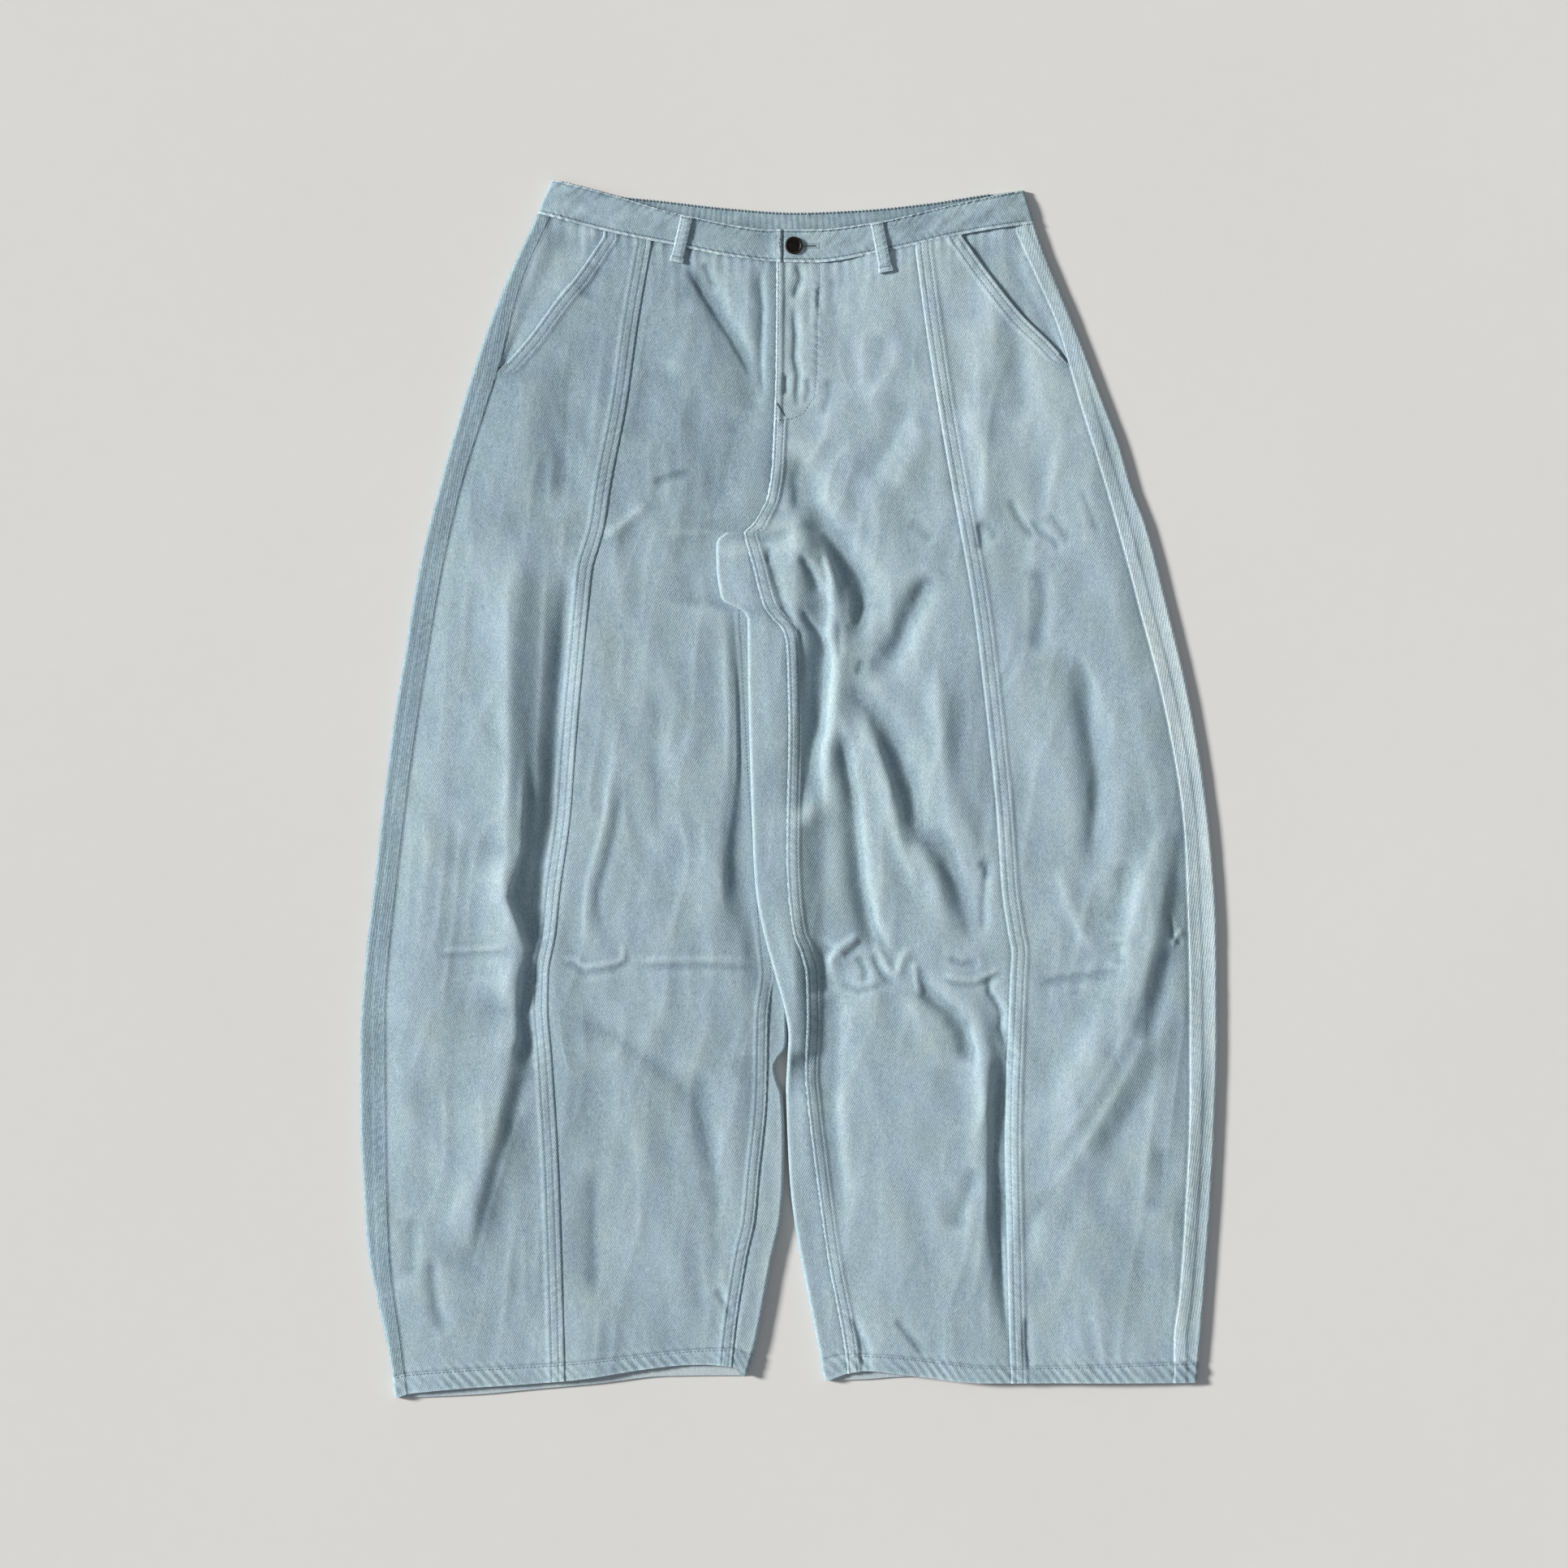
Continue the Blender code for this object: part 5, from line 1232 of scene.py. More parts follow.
def add_back_band():
    """The elastic back waistband: flat outside, gathered on the inside that shows."""
    columns = np.linspace(BAND_WRAP["right"], BAND_WRAP["left"], BACK_COLUMNS)
    x, t = np.meshgrid(columns, np.linspace(1, 0, BACK_ROWS))
    lean = curve(BAND_LEAN, x) * t
    seam, edge = curve(WAIST_SEAM["under"], x), curve(BAND_EDGE["under"], x + lean)
    base = np.stack([x + lean, mix(seam, edge, t), np.zeros(x.shape)], axis=-1)
    move_edges(base, "lr", -SEAM_GAP / 2)
    move_edges(base, "b", -3 * SEAM_GAP)
    height, wear_and_shading = gather_height(x, t)
    above = base[..., 1] - curve(BAND_EDGE["over"], x)
    # Darker where the front band's top edge lies over it: painted shade
    wear_and_shading = wear_and_shading - 0.7 * np.exp(-np.abs(above) / 3.0)
    outer = base.copy()
    outer[..., 2] = WALL + height
    return shell_piece("waistband_back", outer, base, thinned(BACK_ROWS, [], 2),
                       thinned(BACK_COLUMNS, []), wear_and_shading,
                       [MATERIALS["denim_inside"], MATERIALS["denim"]])


def front_top(leg, x, y):
    """Height of what lies uppermost at a point near the front waist seam."""
    panel = over_height(leg, x, y)
    band = curve(BAND_HEIGHT[leg], x)
    seam = curve(WAIST_SEAM["over"], x)
    upper = np.maximum(panel, band)
    below = np.where(y < seam - LOOP_BLEND, panel, upper)
    return np.where(y > seam + LOOP_BLEND, band, below)


def loop_axes(loop):
    """Start, direction, crosswise direction and length of a belt loop."""
    top, foot = np.array(loop.top), np.array(loop.foot)
    length = float(np.hypot(*(foot - top)))
    along = (foot - top) / length
    return top, along, np.array([-along[1], along[0]]), length


LOOP_ROWS = 45
LOOP_COLUMNS = 15
LOOP_STITCH = 0.62
LOOP_REST = 0.7
LOOP_BOW = 0.7
LOOP_THICK = 1.1
LOOP_FOOT = 0.16
LOOP_PAINTED_HIGHLIGHT = -0.9


def loop_surface(loop, t, s):
    """Underside of a belt loop, t of the way along it and s of half its width across it."""
    top, along, across, length = loop_axes(loop)
    wide = loop.width / 2 * (1 + LOOP_FOOT * smooth((t - 0.87) / 0.05))
    plan = top + along * (t * length)[..., None] + across * (s * wide)[..., None]
    width_max = np.full(t.shape, -1e9)
    for other in (-1, 0, 1):
        edge = top + along * (t * length)[..., None] + across * (other * loop.width / 2)
        width_max = np.maximum(width_max, front_top(loop.leg, edge[..., 0], edge[..., 1]))
    rise = LOOP_REST + LOOP_BOW * np.sqrt(np.clip(np.sin(np.pi * t), 0, 1))
    return np.concatenate([plan, (width_max + rise)[..., None]], axis=-1)


def loop_relief(s, t, length):
    """Height of a belt loop and its tone shift: turned edges, two rows of stitches and folded
    ends, with a painted highlight along its left edge and painted shade in its stitch grooves.
    """
    height = 0.8 * (1 - np.abs(s) ** 5) - 0.30 * bump(np.abs(s), LOOP_STITCH, 0.14)
    ripple = np.sin(2 * np.pi * t * length / 5.2 + 2 * s)
    height = height + 0.12 * ripple * bump(np.abs(s), LOOP_STITCH, 0.35)
    # The pale line along the loop's left edge is a painted highlight on the side that faces the
    # light, and the darker rows are painted shade in the stitch grooves
    wear_and_shading = 0.35 + 0.9 * bump(s, LOOP_PAINTED_HIGHLIGHT, 0.16) - 0.4 * bump(np.abs(s), LOOP_STITCH, 0.12)
    wear_and_shading = wear_and_shading + 0.2 * ripple + 0.5 * bump(t, 1, 0.03) + 0.5 * bump(t, 0, 0.03)
    return height + 0.35 * bump(t, 0.97, 0.05) - 0.3 * bump(t, 0.90, 0.02), wear_and_shading


def add_belt_loop(name, loop):
    """A strip that stands off the band and is fixed at both ends."""
    s, t = np.meshgrid(np.linspace(-1, 1, LOOP_COLUMNS), np.linspace(0, 1, LOOP_ROWS))
    inner = loop_surface(loop, t, s)
    height, wear_and_shading = loop_relief(s, t, loop_axes(loop)[3])
    outer = inner.copy()
    outer[..., 2] += LOOP_THICK + height
    return shell_piece(name, outer, inner, np.arange(LOOP_ROWS), np.arange(LOOP_COLUMNS), wear_and_shading)


STITCH_PITCH = 3.1
STITCH_LENGTH = 2.5
STITCH_RADIUS = 0.30
STITCH_PROFILE = ((0.0, 0.0, -0.30), (0.16, 0.80, 0.02), (0.5, 1.0, 0.10), (0.84, 0.80, 0.02),
                  (1.0, 0.0, -0.30))
STITCH_SIDES = 5
STITCH_FLATNESS = 0.8
# A pitch with which a short path takes one stitch only
SINGLE = 99.0


def stitches(path, height, pitch=STITCH_PITCH, length=STITCH_LENGTH, radius=STITCH_RADIUS,
             lean=0.0):
    """Vertices and faces of a row of stitches along a path of (x, y) points.

    height(x, y) gives the cloth under them, and lean turns each stitch a little."""
    path = np.array(path, float)
    arc = np.concatenate([[0], np.cumsum(np.hypot(*np.diff(path, axis=0).T))])
    first = min(pitch * 0.3, max((arc[-1] - length) / 2, 0.0))
    starts = np.arange(first, max(arc[-1] - length, first) + 0.01, pitch)
    t, thick, sink = np.array(STITCH_PROFILE).T
    at = starts[:, None] + t[None, :] * length
    x, y = np.interp(at, arc, path[:, 0]), np.interp(at, arc, path[:, 1])
    dx, dy = x[:, -1] - x[:, 0], y[:, -1] - y[:, 0]
    size = np.hypot(dx, dy) + 1e-9
    side = np.stack([-dy / size, dx / size], axis=-1)
    x = x + (t - 0.5) * lean * side[:, :1]
    y = y + (t - 0.5) * lean * side[:, 1:]
    z = height(x, y) + sink
    count = 2 + 3 * STITCH_SIDES
    angle = np.arange(STITCH_SIDES) * 2 * np.pi / STITCH_SIDES
    rings = []
    for k in (1, 2, 3):
        r = thick[k] * radius
        ring = np.stack([
            x[:, k, None] + side[:, :1] * (r * np.cos(angle)),
            y[:, k, None] + side[:, 1:] * (r * np.cos(angle)),
            z[:, k, None] + STITCH_FLATNESS * r * np.sin(angle) + 0 * side[:, :1],
        ], axis=-1)
        rings.append(ring)
    tips = [np.stack([x[:, k], y[:, k], z[:, k]], axis=-1)[:, None] for k in (0, 4)]
    vertices = np.concatenate([tips[0], *rings, tips[1]], axis=1).reshape(-1, 3)
    one = []
    for j in range(STITCH_SIDES):
        k = (j + 1) % STITCH_SIDES
        one.append([0, 1 + j, 1 + k])
        for ring in range(2):
            a, b = 1 + ring * STITCH_SIDES, 1 + (ring + 1) * STITCH_SIDES
            one.append([a + j, b + j, b + k])
            one.append([a + j, b + k, a + k])
        last = 1 + 2 * STITCH_SIDES
        one.append([count - 1, last + k, last + j])
    one = np.array(one)
    faces = (one[None] + count * np.arange(len(starts))[:, None, None]).reshape(-1, 3)
    return vertices, faces


def sewn(name, rows, colour="thread"):
    """One object from several rows of stitches."""
    vertices, faces, count = [], [], 0
    for points, triangles in rows:
        vertices.append(points)
        faces.append(triangles + count)
        count += len(points)
    return add_mesh(name, np.concatenate(vertices), np.concatenate(faces).tolist(),
                    [MATERIALS[colour]])


def leg_top(leg):
    """Height of the finished upper layer of a leg, as a function of (x, y)."""
    def height(x, y):
        return over_height(leg, x, y) + relief(leg, x, y)[0]
    return height


def band_top(leg):
    """Height of the finished waistband, as a function of (x, y)."""
    def height(x, y):
        seam, edge = curve(WAIST_SEAM["over"], x), curve(BAND_EDGE["over"], x)
        t = np.clip((y - seam) / (edge - seam), 0, 1)
        return curve(BAND_HEIGHT[leg], x) + band_relief(leg, x, t)[0]
    return height


def beside(leg, line, distance, low, high, step=4.0):
    """Points at a distance from a named line, on its outer side where it is positive."""
    y = np.arange(low, high + step / 2, step)
    x = line_x(leg, line, y)
    slope = (line_x(leg, line, y + 1) - line_x(leg, line, y - 1)) / 2
    return np.stack([x + SIGN[leg] * distance * np.sqrt(1 + slope**2), y], axis=-1)


BAR_RADIUS = 0.26


def bartack(start, end, height, pitch=0.55, width=2.6):
    """A dense bar of short stitches across the line from start to end."""
    start, end = np.array(start, float), np.array(end, float)
    length = np.hypot(*(end - start))
    along = (end - start) / length
    across = np.array([-along[1], along[0]]) * width / 2
    rows = []
    for at in np.arange(0, length, pitch):
        middle = start + along * at
        rows.append(stitches([middle - across, middle + across], height, pitch=SINGLE,
                             length=width * 0.96, radius=BAR_RADIUS))
    return rows


HEM_STITCH = 1.6
DARK_RADIUS = 0.36
# Ends of the rows along the hems and the waistband, as x
HEM_ROW_ENDS = {"right": (-319, -46), "left": (330.5, 50)}
BAND_ROW_ENDS = {"right": (-196, -13), "left": (192, -4)}
# Short rows at the foot and at the top of the fly
FLY_FOOT = ((-9, 299), (4, 301))
FLY_BAR = ((-9.2, 313), (-3.2, 303))
BAND_END_ROW = ((-5, 451), (-8, 444), (-4.6, 431))
# Buttonhole stitches: their pitch, how far each row is from the slit, and their half length
HOLE_SPAN = (9.5, 24.5)
HOLE_BAND = (428.3, 454.4)
HOLE_PITCH = 0.62
HOLE_SPREAD = 1.5
HOLE_REACH = 0.9
HOLE_BAR = 24.3
# Rows of a belt loop: pitch and length of a stitch, and where its bars are from each end
LOOP_PITCH = 2.7
LOOP_LENGTH = 2.1
LOOP_BARS = (1.6, -4.2)


def add_leg_sewing(leg):
    """Rows along the seams, the hem and the fly, and the bars at the pocket and the fly."""
    top = leg_top(leg)
    rows = []
    for seam in SEAMS:
        if seam.leg != leg:
            continue
        low = max(seam.low, curve(HEM_EDGE[leg]["over"], line_x(leg, seam.line, -480.0)) + 1)
        high = min(seam.high, curve(WAIST_SEAM["over"], line_x(leg, seam.line, 440.0)) - 1)
        for at in seam.stitches:
            rows.append(stitches(beside(leg, seam.line, at * seam.side, low, high), top))
    s = SIGN[leg]
    x = np.linspace(*HEM_ROW_ENDS[leg], 120)
    hem_line = np.stack([x, curve(HEM_SEAM[leg]["over"], x) - HEM_STITCH], -1)
    dark_rows = [stitches(hem_line, top, radius=DARK_RADIUS)]
    if leg == "left":
        rows.append(stitches(FLY_PATH, top))
        dark_rows.append(stitches(FLY_FOOT, top, radius=DARK_RADIUS))
        dark_rows += bartack(*FLY_BAR, top)
    sewn(f"sewing_{leg}_hem", dark_rows, "thread_dark")
    foot = POCKET_FOOT[leg]
    corner = float(line_x(leg, "side", foot))
    rows += bartack((corner - s * 1.5, foot + 1), (corner - s * 8.5, foot + 8), top)
    sewn(f"sewing_{leg}_leg", rows, "thread_seam")


def add_band_sewing():
    """Rows along the waistband, round the buttonhole and on the belt loops."""
    rows = []
    for leg in ("right", "left"):
        top = band_top(leg)
        x = np.linspace(*BAND_ROW_ENDS[leg], 90)
        low, high = curve(WAIST_SEAM["over"], x), curve(BAND_EDGE["over"], x)
        rows.append(stitches(np.stack([x, low + BAND_STITCH], -1), top, radius=DARK_RADIUS))
        rows.append(stitches(np.stack([x + curve(BAND_LEAN, x), high - BAND_STITCH], -1), top,
                             radius=DARK_RADIUS))
    top = band_top("left")
    rows.append(stitches(BAND_END_ROW, top))
    sewn("sewing_waistband", rows, "thread_dark")
    rows = []
    slit = mix(*HOLE_BAND, sum(SLIT_ROWS) / 2)
    for y in (slit - HOLE_SPREAD, slit + HOLE_SPREAD):
        for x in np.arange(*HOLE_SPAN, HOLE_PITCH):
            rows.append(stitches([(x, y - HOLE_REACH), (x, y + HOLE_REACH)], top, pitch=SINGLE,
                                 length=1.75, radius=0.27))
    rows += bartack((HOLE_BAR, slit - 2.2), (HOLE_BAR, slit + 2.4), top, width=1.6)
    sewn("sewing_buttonhole", rows)
    rows = []
    for loop in BELT_LOOPS.values():
        start, along, across, length = loop_axes(loop)

        def top(x, y, loop=loop, start=start, along=along, across=across, length=length):
            offset = np.stack([x, y], axis=-1) - start
            t = np.clip(offset @ along / length, 0, 1)
            s = np.clip(offset @ across / (loop.width / 2), -1, 1)
            low = loop_surface(loop, t, s)[..., 2]
            return low + LOOP_THICK + loop_relief(s, t, length)[0]

        for s in (-LOOP_STITCH, LOOP_STITCH):
            shift = across * s * loop.width / 2
            rows.append(stitches([start + shift + along, start + shift + along * (length - 1)],
                                 top, pitch=LOOP_PITCH, length=LOOP_LENGTH))
        for at in (LOOP_BARS[0], length + LOOP_BARS[1]):
            middle = start + along * at
            half = across * (loop.width / 2 - 0.8)
            rows += bartack(middle - half, middle + half, top, width=1.9)
    sewn("sewing_belt_loops", rows)


OVERLOCK_PITCH = 3.0
OVERLOCK_LENGTH = 2.5
OVERLOCK_RADIUS = 0.52
OVERLOCK_RISE = 0.25


def add_overlock():
    """The looped edge of the elastic waistband's inner face."""
    rows = []
    for x in np.arange(BAND_WRAP["right"] + 2, BAND_WRAP["left"] - 2, OVERLOCK_PITCH):
        lean = float(curve(BAND_LEAN, x))
        y = float(curve(BAND_EDGE["under"], x + lean))
        top = float(WALL + gather_height(np.float64(x), np.float64(1.0))[0])
        rows.append(stitches([(x + lean, y - 1.7), (x + lean + 0.4, y + 0.8)],
                             lambda a, b, z=top + OVERLOCK_RISE: np.full(a.shape, z),
                             pitch=SINGLE, length=OVERLOCK_LENGTH, radius=OVERLOCK_RADIUS))
    sewn("sewing_overlock", rows, "thread_dark")


# Button: turned profile with a sunk face and a raised rim, as (r, z)
BUTTON_TURN = ((0.01, 5.3), (1.4, 5.3), (1.5, 5.6), (1.5, 7.3), (2.4, 7.5), (5.6, 7.5),
               (6.5, 7.6), (7.0, 7.9), (7.2, 8.4), (7.15, 8.9), (6.9, 9.35), (6.5, 9.6),
               (6.0, 9.68), (5.6, 9.5), (5.3, 9.15), (4.9, 8.98), (4.2, 9.0), (3.2, 9.12),
               (2.0, 9.22), (1.0, 9.27), (0.01, 9.28))
BUTTON_STEPS = 64
BUTTON_TILT = 0.035


def add_button():
    """A shank button with a hammered, sunk face inside a rubbed, raised rim."""
    x, y = BUTTON_PLACE
    profile = np.array(BUTTON_TURN)
    turn = np.linspace(0, 2 * np.pi, BUTTON_STEPS, endpoint=False)
    r, a = np.meshgrid(profile[:, 0], turn, indexing="ij")
    z = np.broadcast_to(profile[:, 1:], r.shape)
    px, py = r * np.cos(a), r * np.sin(a)
    face = smooth((5.2 - r) / 0.5) * (z > 8.5)
    dent = 0.10 * noise(px, py, 1.1, 1.1, 81) * face
    points = np.stack([x + px, y + py, z + dent - BUTTON_TILT * px * (z > 7.4)], axis=-1)
    rim = bump(r, 6.3, 0.7) * (z > 9)
    count, steps = r.shape
    index = np.arange(count * steps).reshape(count, steps)
    faces = []
    for i in range(count - 1):
        for j in range(steps):
            k = (j + 1) % steps
            faces.append([index[i, j], index[i, k], index[i + 1, k], index[i + 1, j]])
    faces.append(index[0, ::-1].tolist())
    faces.append(index[-1].tolist())
    vertices = points.reshape(-1, 3)
    button = add_mesh("shank_button", vertices, faces, [MATERIALS["button"]], rim)
    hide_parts("button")


class Nodes:
    """Short ways to add nodes to a material."""

    def __init__(self, name):
        self.material = bpy.data.materials.new(name)
        self.material.use_nodes = True
        self.tree = self.material.node_tree
        self.shader = self.tree.nodes["Principled BSDF"]

    def add(self, kind, **values):
        made = self.tree.nodes.new("ShaderNode" + kind)
        for key, value in values.items():
            if key in made.inputs:
                made.inputs[key].default_value = value
            else:
                setattr(made, key, value)
        return made

    def link(self, source, target):
        self.tree.links.new(source, target)

    def math(self, operation, a, b=None, c=None):
        made = self.add("Math", operation=operation)
        for socket, value in zip(made.inputs, (a, b, c)):
            if value is None:
                continue
            if isinstance(value, (int, float)):
                socket.default_value = value
            else:
                self.link(value, socket)
        return made.outputs[0]

    def mapped(self, scale=(1, 1, 1), turn=0.0):
        place = self.add("TexCoord")
        made = self.add("Mapping", Scale=scale, Rotation=(0, 0, turn))
        self.link(place.outputs["Object"], made.inputs["Vector"])
        return made.outputs[0]

    def noise(self, scale, detail=2.0, roughness=0.5, stretch=(1, 1, 1), turn=0.0):
        made = self.add("TexNoise", Scale=scale, Detail=detail, Roughness=roughness)
        self.link(self.mapped(stretch, turn), made.inputs["Vector"])
        return made.outputs["Fac"]

    def total(self, start, terms):
        """start plus each weight times its value less a half."""
        result = start
        for weight, value in terms:
            result = self.math("MULTIPLY_ADD", value, weight,
                               self.math("SUBTRACT", result, weight / 2)
                               if not isinstance(result, (int, float)) else result - weight / 2)
        return result

    def ramp(self, factor, stops):
        made = self.add("ValToRGB")
        ramp = made.color_ramp
        ramp.elements[0].position, ramp.elements[0].color = stops[0][0], (*stops[0][1], 1)
        ramp.elements[1].position, ramp.elements[1].color = stops[-1][0], (*stops[-1][1], 1)
        for place, colour in stops[1:-1]:
            ramp.elements.new(place).color = (*colour, 1)
        self.link(factor, made.inputs["Fac"])
        return made.outputs["Color"]

    def bump(self, height, distance, strength):
        made = self.add("Bump", Strength=strength, Distance=distance)
        self.link(height, made.inputs["Height"])
        self.link(made.outputs["Normal"], self.shader.inputs["Normal"])

    def colour(self, output):
        self.link(output, self.shader.inputs["Base Color"])

    def wear_and_shading(self):
        return self.add("Attribute", attribute_name="wear_and_shading").outputs["Fac"]

    def set(self, **values):
        for key, value in values.items():
            self.shader.inputs[key.replace("_", " ")].default_value = value


# Twill: lines 1.6 mm apart that climb to the right
TWILL_TURN = np.radians(29.0)
TWILL_SCALE = 0.3142 / 0.00160
STRIP_TURN = np.radians(9.0)
DENIM_STOPS = ((0.0, (0.083, 0.127, 0.155)), (0.30, (0.187, 0.266, 0.311)),
               (0.55, (0.312, 0.412, 0.460)), (0.80, (0.465, 0.568, 0.607)),
               (1.0, (0.632, 0.717, 0.740)))
TINT_STOPS = ((0.3, (0.985, 0.992, 1.03)), (0.7, (1.015, 1.01, 0.965)))
INSIDE_STOPS = ((0.0, (0.080, 0.120, 0.148)), (0.35, (0.185, 0.262, 0.305)),
                (0.65, (0.305, 0.398, 0.440)), (1.0, (0.520, 0.605, 0.630)))
REVERSE_STOPS = ((0.0, (0.20, 0.26, 0.29)), (0.5, (0.42, 0.49, 0.52)), (1.0, (0.66, 0.71, 0.72)))
THREAD_STOPS = {
    "thread": ((0.0, (0.13, 0.18, 0.21)), (0.5, (0.24, 0.31, 0.345)), (1.0, (0.42, 0.49, 0.52))),
    "thread_seam": ((0.0, (0.085, 0.118, 0.14)), (0.5, (0.18, 0.238, 0.265)),
                    (1.0, (0.33, 0.39, 0.42))),
    "thread_dark": ((0.0, (0.035, 0.055, 0.072)), (0.5, (0.085, 0.12, 0.145)),
                    (1.0, (0.22, 0.28, 0.31))),
}
METAL_STOPS = ((0.0, (0.006, 0.005, 0.004)), (0.4, (0.020, 0.016, 0.013)),
               (0.75, (0.10, 0.082, 0.065)), (1.0, (0.32, 0.28, 0.23)))
FLOOR_STOPS = ((0.0, (0.60, 0.59, 0.57)), (1.0, (0.66, 0.65, 0.63)))
WEAR_AND_SHADING_SHARE = 0.26
METAL_WEAR_SHARE = 0.34
CLOTH_BUMP = (0.00018, 0.5)
THREAD_BUMP = (0.00012, 0.6)
METAL_BUMP = (0.00018, 0.8)


def denim(name, stops, twill=0.34, wash=0.16, turn=TWILL_TURN, wide=1.0):
    """Washed twill: slanting lines broken by slubs, a mottled wash, and pale rubbed edges,
    with painted highlight on crests and painted shade in hollows and grooves.
    """
    made = Nodes(name)
    lines = made.add("TexWave", wave_type="BANDS", bands_direction="X", wave_profile="SIN",
                     Scale=TWILL_SCALE / wide, Distortion=3.2)
    lines.inputs["Detail"].default_value = 2.0
    lines.inputs["Detail Scale"].default_value = 1.3
    lines.inputs["Detail Roughness"].default_value = 0.6
    made.link(made.mapped(turn=turn), lines.inputs["Vector"])
    line = lines.outputs["Fac"]
    patch = made.noise(1, 2.0, 0.5, (26, 12, 20))
    line = made.math("MULTIPLY_ADD", made.math("SUBTRACT", line, 0.5),
                     made.math("MULTIPLY", patch, 2.0), 0.5)
    broken = made.noise(1, 2.0, 0.6, (760, 270, 500), turn)
    slub = made.noise(1, 2.0, 0.6, (760, 150, 300))
    speck = made.noise(720, 2.0, 0.75)
    cloud = made.noise(17, 4.0, 0.6)
    streak = made.noise(1, 3.0, 0.55, (60, 14, 20))
    wear_and_shading = made.wear_and_shading()
    shade = made.total(0.5, (
        (twill * 0.30, line), (twill * 0.8, broken), (0.22, slub), (0.62, speck),
        (wash, cloud), (wash * 0.5, streak)))
    # The point attribute added here shifts the tone: rubbed pale edges and fading, plus painted
    # highlight on crests and painted shade in hollows, grooves and beside lapped edges
    shade = made.math("MULTIPLY_ADD", wear_and_shading, WEAR_AND_SHADING_SHARE, shade)
    colour = made.add("Mix", data_type="RGBA", blend_type="MULTIPLY")
    colour.inputs[0].default_value = 1.0
    made.link(made.ramp(shade, stops), colour.inputs[6])
    made.link(made.ramp(made.noise(30, 3.0, 0.6), TINT_STOPS), colour.inputs[7])
    made.colour(colour.outputs[2])
    height = made.total(0.5, ((0.9, line), (1.1, broken), (0.4, slub), (0.9, speck)))
    made.bump(height, *CLOTH_BUMP)
    rough = made.total(0.88, ((0.10, speck), (0.06, cloud)))
    made.link(rough, made.shader.inputs["Roughness"])
    made.set(Sheen_Weight=0.28, Sheen_Roughness=0.45, Specular_IOR_Level=0.22)
    return made.material


def thread(name, stops):
    """Matt cotton thread with a fine twist."""
    made = Nodes(name)
    twist = made.noise(1, 2.0, 0.6, (2600, 2600, 1200), 0.7)
    shade = made.total(0.5, ((0.9, twist), (0.5, made.noise(300, 2.0, 0.6))))
    made.colour(made.ramp(shade, stops))
    made.bump(twist, *THREAD_BUMP)
    made.set(Roughness=0.78, Sheen_Weight=0.2, Specular_IOR_Level=0.3)
    return made.material


def dark_metal(name):
    """Antiqued dark metal, rubbed to a paler brown on the rim."""
    made = Nodes(name)
    wear_and_shading = made.wear_and_shading()
    grain = made.noise(1900, 3.0, 0.7)
    cloud = made.noise(420, 3.0, 0.6)
    shade = made.total(0.22, ((0.35, grain), (0.35, cloud)))
    shade = made.math("MULTIPLY_ADD", wear_and_shading, METAL_WEAR_SHARE, shade)
    made.colour(made.ramp(shade, METAL_STOPS))
    made.link(made.total(0.42, ((0.30, grain), (0.20, cloud))), made.shader.inputs["Roughness"])
    made.bump(made.total(0.5, ((0.8, grain), (0.6, cloud))), *METAL_BUMP)
    made.set(Metallic=0.85)
    return made.material


def floor_paint(name):
    """Plain pale matt floor."""
    made = Nodes(name)
    shade = made.total(0.5, ((0.5, made.noise(3, 3.0, 0.5)), (0.3, made.noise(60, 3.0, 0.6))))
    made.colour(made.ramp(shade, FLOOR_STOPS))
    made.set(Roughness=0.9, Specular_IOR_Level=0.15)
    return made.material


MATERIALS = {
    "denim": denim("denim", DENIM_STOPS),
    "denim_turned": denim("denim_turned", DENIM_STOPS, twill=0.50, turn=STRIP_TURN, wide=1.25),
    "denim_reverse": denim("denim_reverse", REVERSE_STOPS, twill=0.2, wash=0.15),
    "denim_inside": denim("denim_inside", INSIDE_STOPS, twill=0.26, turn=np.radians(80.0)),
    **{name: thread(name, stops) for name, stops in THREAD_STOPS.items()},
    "button": dark_metal("button_metal"),
    "floor": floor_paint("floor_paint"),
}


def cloth_materials(face="denim"):
    """Face side and reverse of the cloth."""
    return [MATERIALS[face], MATERIALS["denim_reverse"]]


# Camera: straight down over the middle of a square picture of PHOTO_SIDE pixels, in which
# the origin is at PHOTO_ORIGIN
PHOTO_SIDE = 1932
MM_TO_PIXEL = 0.66
PHOTO_ORIGIN = (971.5, 972.5)
CAMERA_HEIGHT = 3.2
SENSOR = 36.0


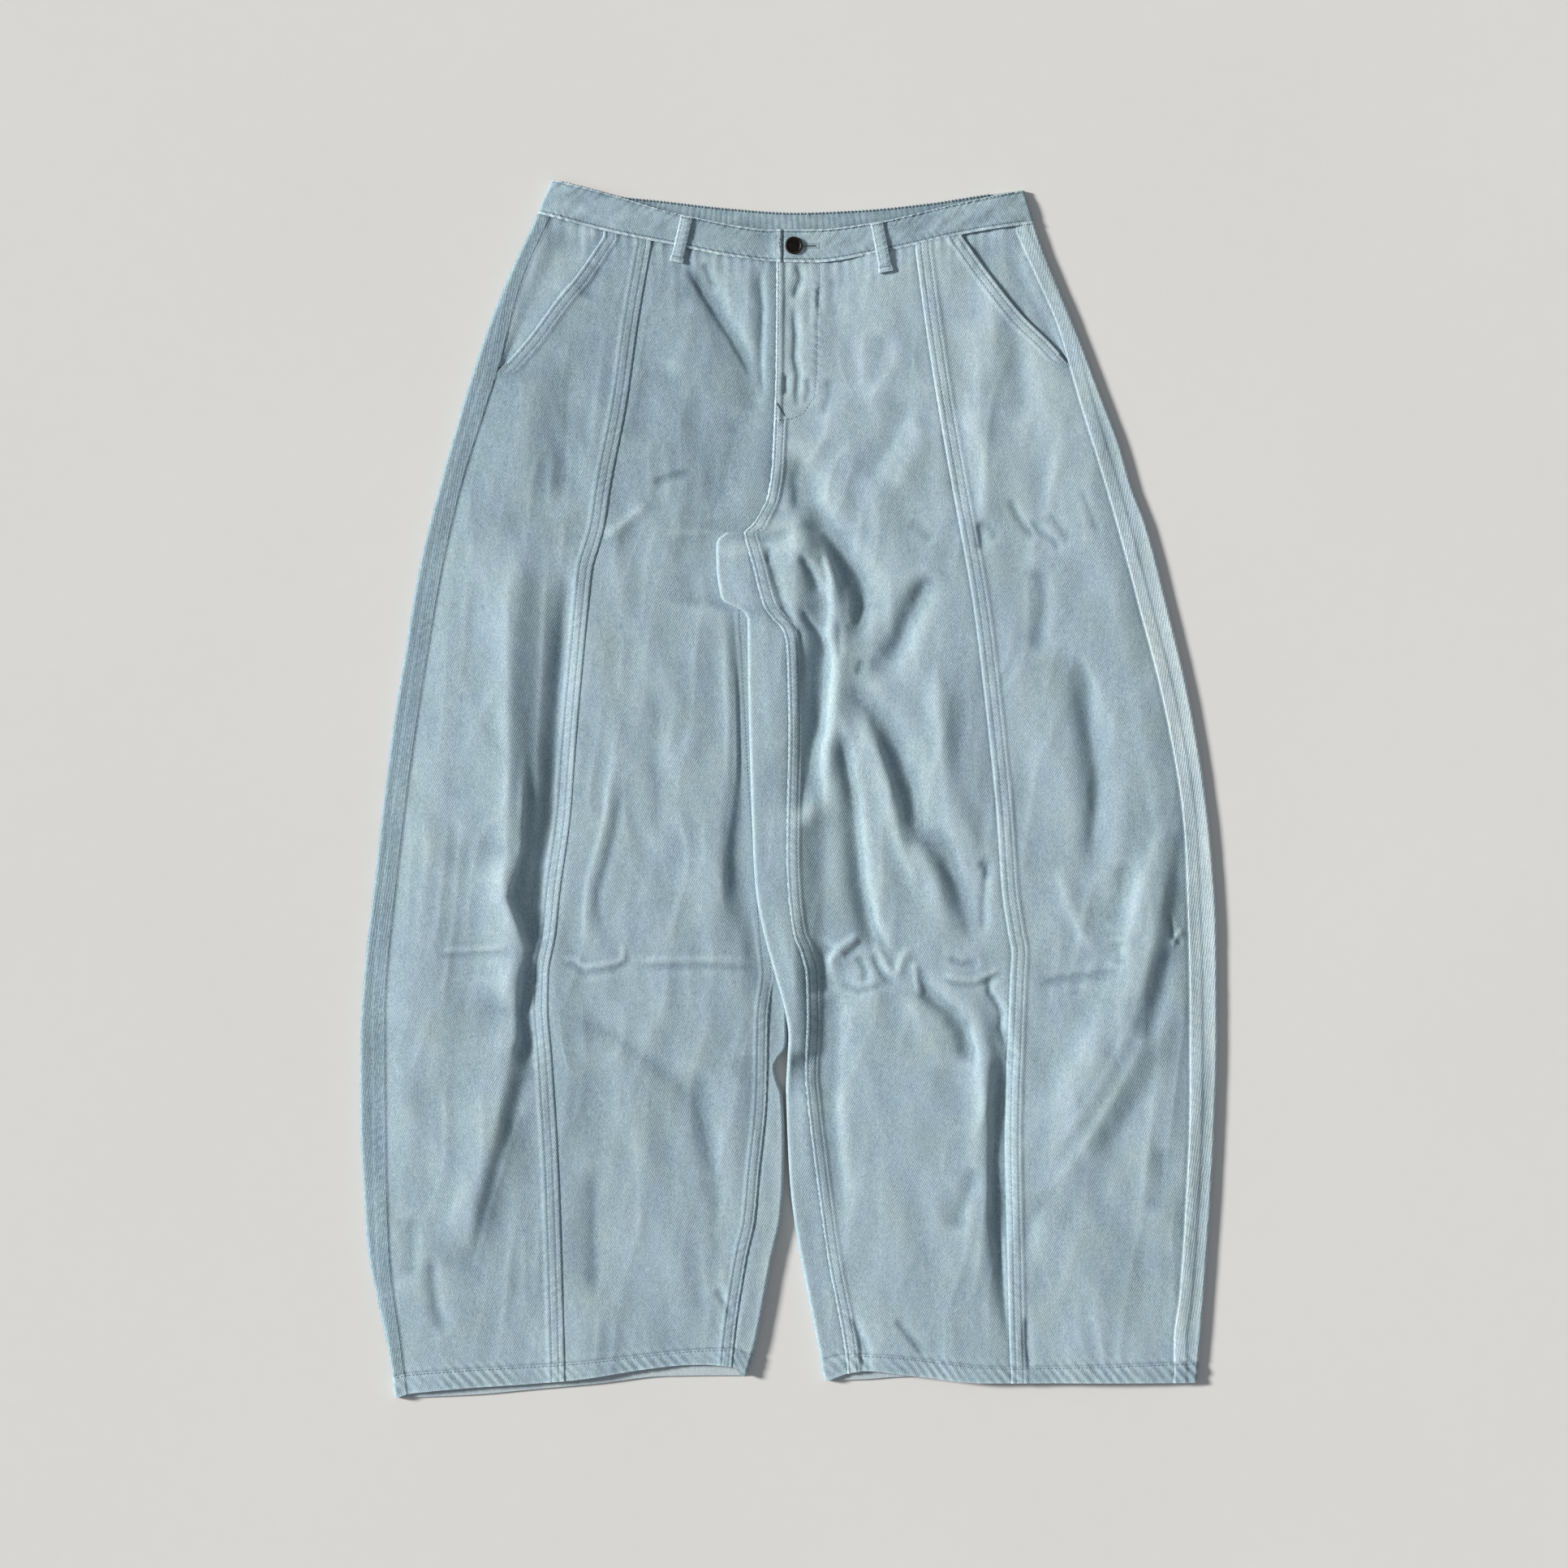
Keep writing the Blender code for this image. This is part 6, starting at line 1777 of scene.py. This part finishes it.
def add_camera():
    """A camera that looks straight down from CAMERA_HEIGHT metres."""
    width = PHOTO_SIDE * MM_TO_PIXEL * MM
    data = bpy.data.cameras.new("camera")
    data.sensor_width = SENSOR
    data.lens = SENSOR * CAMERA_HEIGHT / width
    data.clip_end = 50.0
    camera = bpy.data.objects.new("camera", data)
    middle = PHOTO_SIDE / 2
    camera.location = ((middle - PHOTO_ORIGIN[0]) * MM_TO_PIXEL * MM,
                       (PHOTO_ORIGIN[1] - middle) * MM_TO_PIXEL * MM, CAMERA_HEIGHT)
    bpy.context.scene.collection.objects.link(camera)
    bpy.context.scene.camera = camera


# Each light as (name, strength, turn in degrees, colour, width of its disc in degrees)
LIGHTS = (
    ("key", 5.9, (0, -65, -13), (1.0, 0.985, 0.96), 10),
    ("fill", 0.25, (20, 15, 0), (0.93, 0.97, 1.0), 60),
)
LIGHT_HEIGHT = 3.0
SKY_COLOUR = (0.86, 0.92, 1.0, 1)
SKY_STRENGTH = 0.25
FLOOR_HALF = 4.0
FLOOR_LEVEL = -0.0004


def add_studio():
    """A pale floor, one large soft key light from the upper left and an even fill."""
    mesh = bpy.data.meshes.new("floor")
    corners = [(x * FLOOR_HALF, y * FLOOR_HALF, FLOOR_LEVEL)
               for x, y in ((-1, -1), (1, -1), (1, 1), (-1, 1))]
    mesh.from_pydata(corners, [], [(0, 1, 2, 3)])
    mesh.materials.append(MATERIALS["floor"])
    floor = bpy.data.objects.new("floor", mesh)
    bpy.context.scene.collection.objects.link(floor)
    for name, strength, turn, colour, disc in LIGHTS:
        data = bpy.data.lights.new(name, "SUN")
        data.energy = strength
        data.color = colour
        data.angle = np.radians(disc)
        light = bpy.data.objects.new(name, data)
        light.rotation_euler = [np.radians(a) for a in turn]
        light.location = (0, 0, LIGHT_HEIGHT)
        bpy.context.scene.collection.objects.link(light)
    world = bpy.data.worlds.new("studio")
    world.use_nodes = True
    sky = world.node_tree.nodes["Background"].inputs
    sky["Color"].default_value = SKY_COLOUR
    sky["Strength"].default_value = SKY_STRENGTH
    bpy.context.scene.world = world
    bpy.context.scene.view_settings.view_transform = "Standard"


def main():
    add_camera()
    add_studio()
    for leg in ("right", "left"):
        for panel, piece in add_leg(leg).items():
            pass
        add_hem(leg)
        add_front_band(leg)
        add_leg_sewing(leg)
    add_back_band()
    for name, loop in BELT_LOOPS.items():
        add_belt_loop(name, loop)
    add_band_sewing()
    add_overlock()
    add_button()


main()
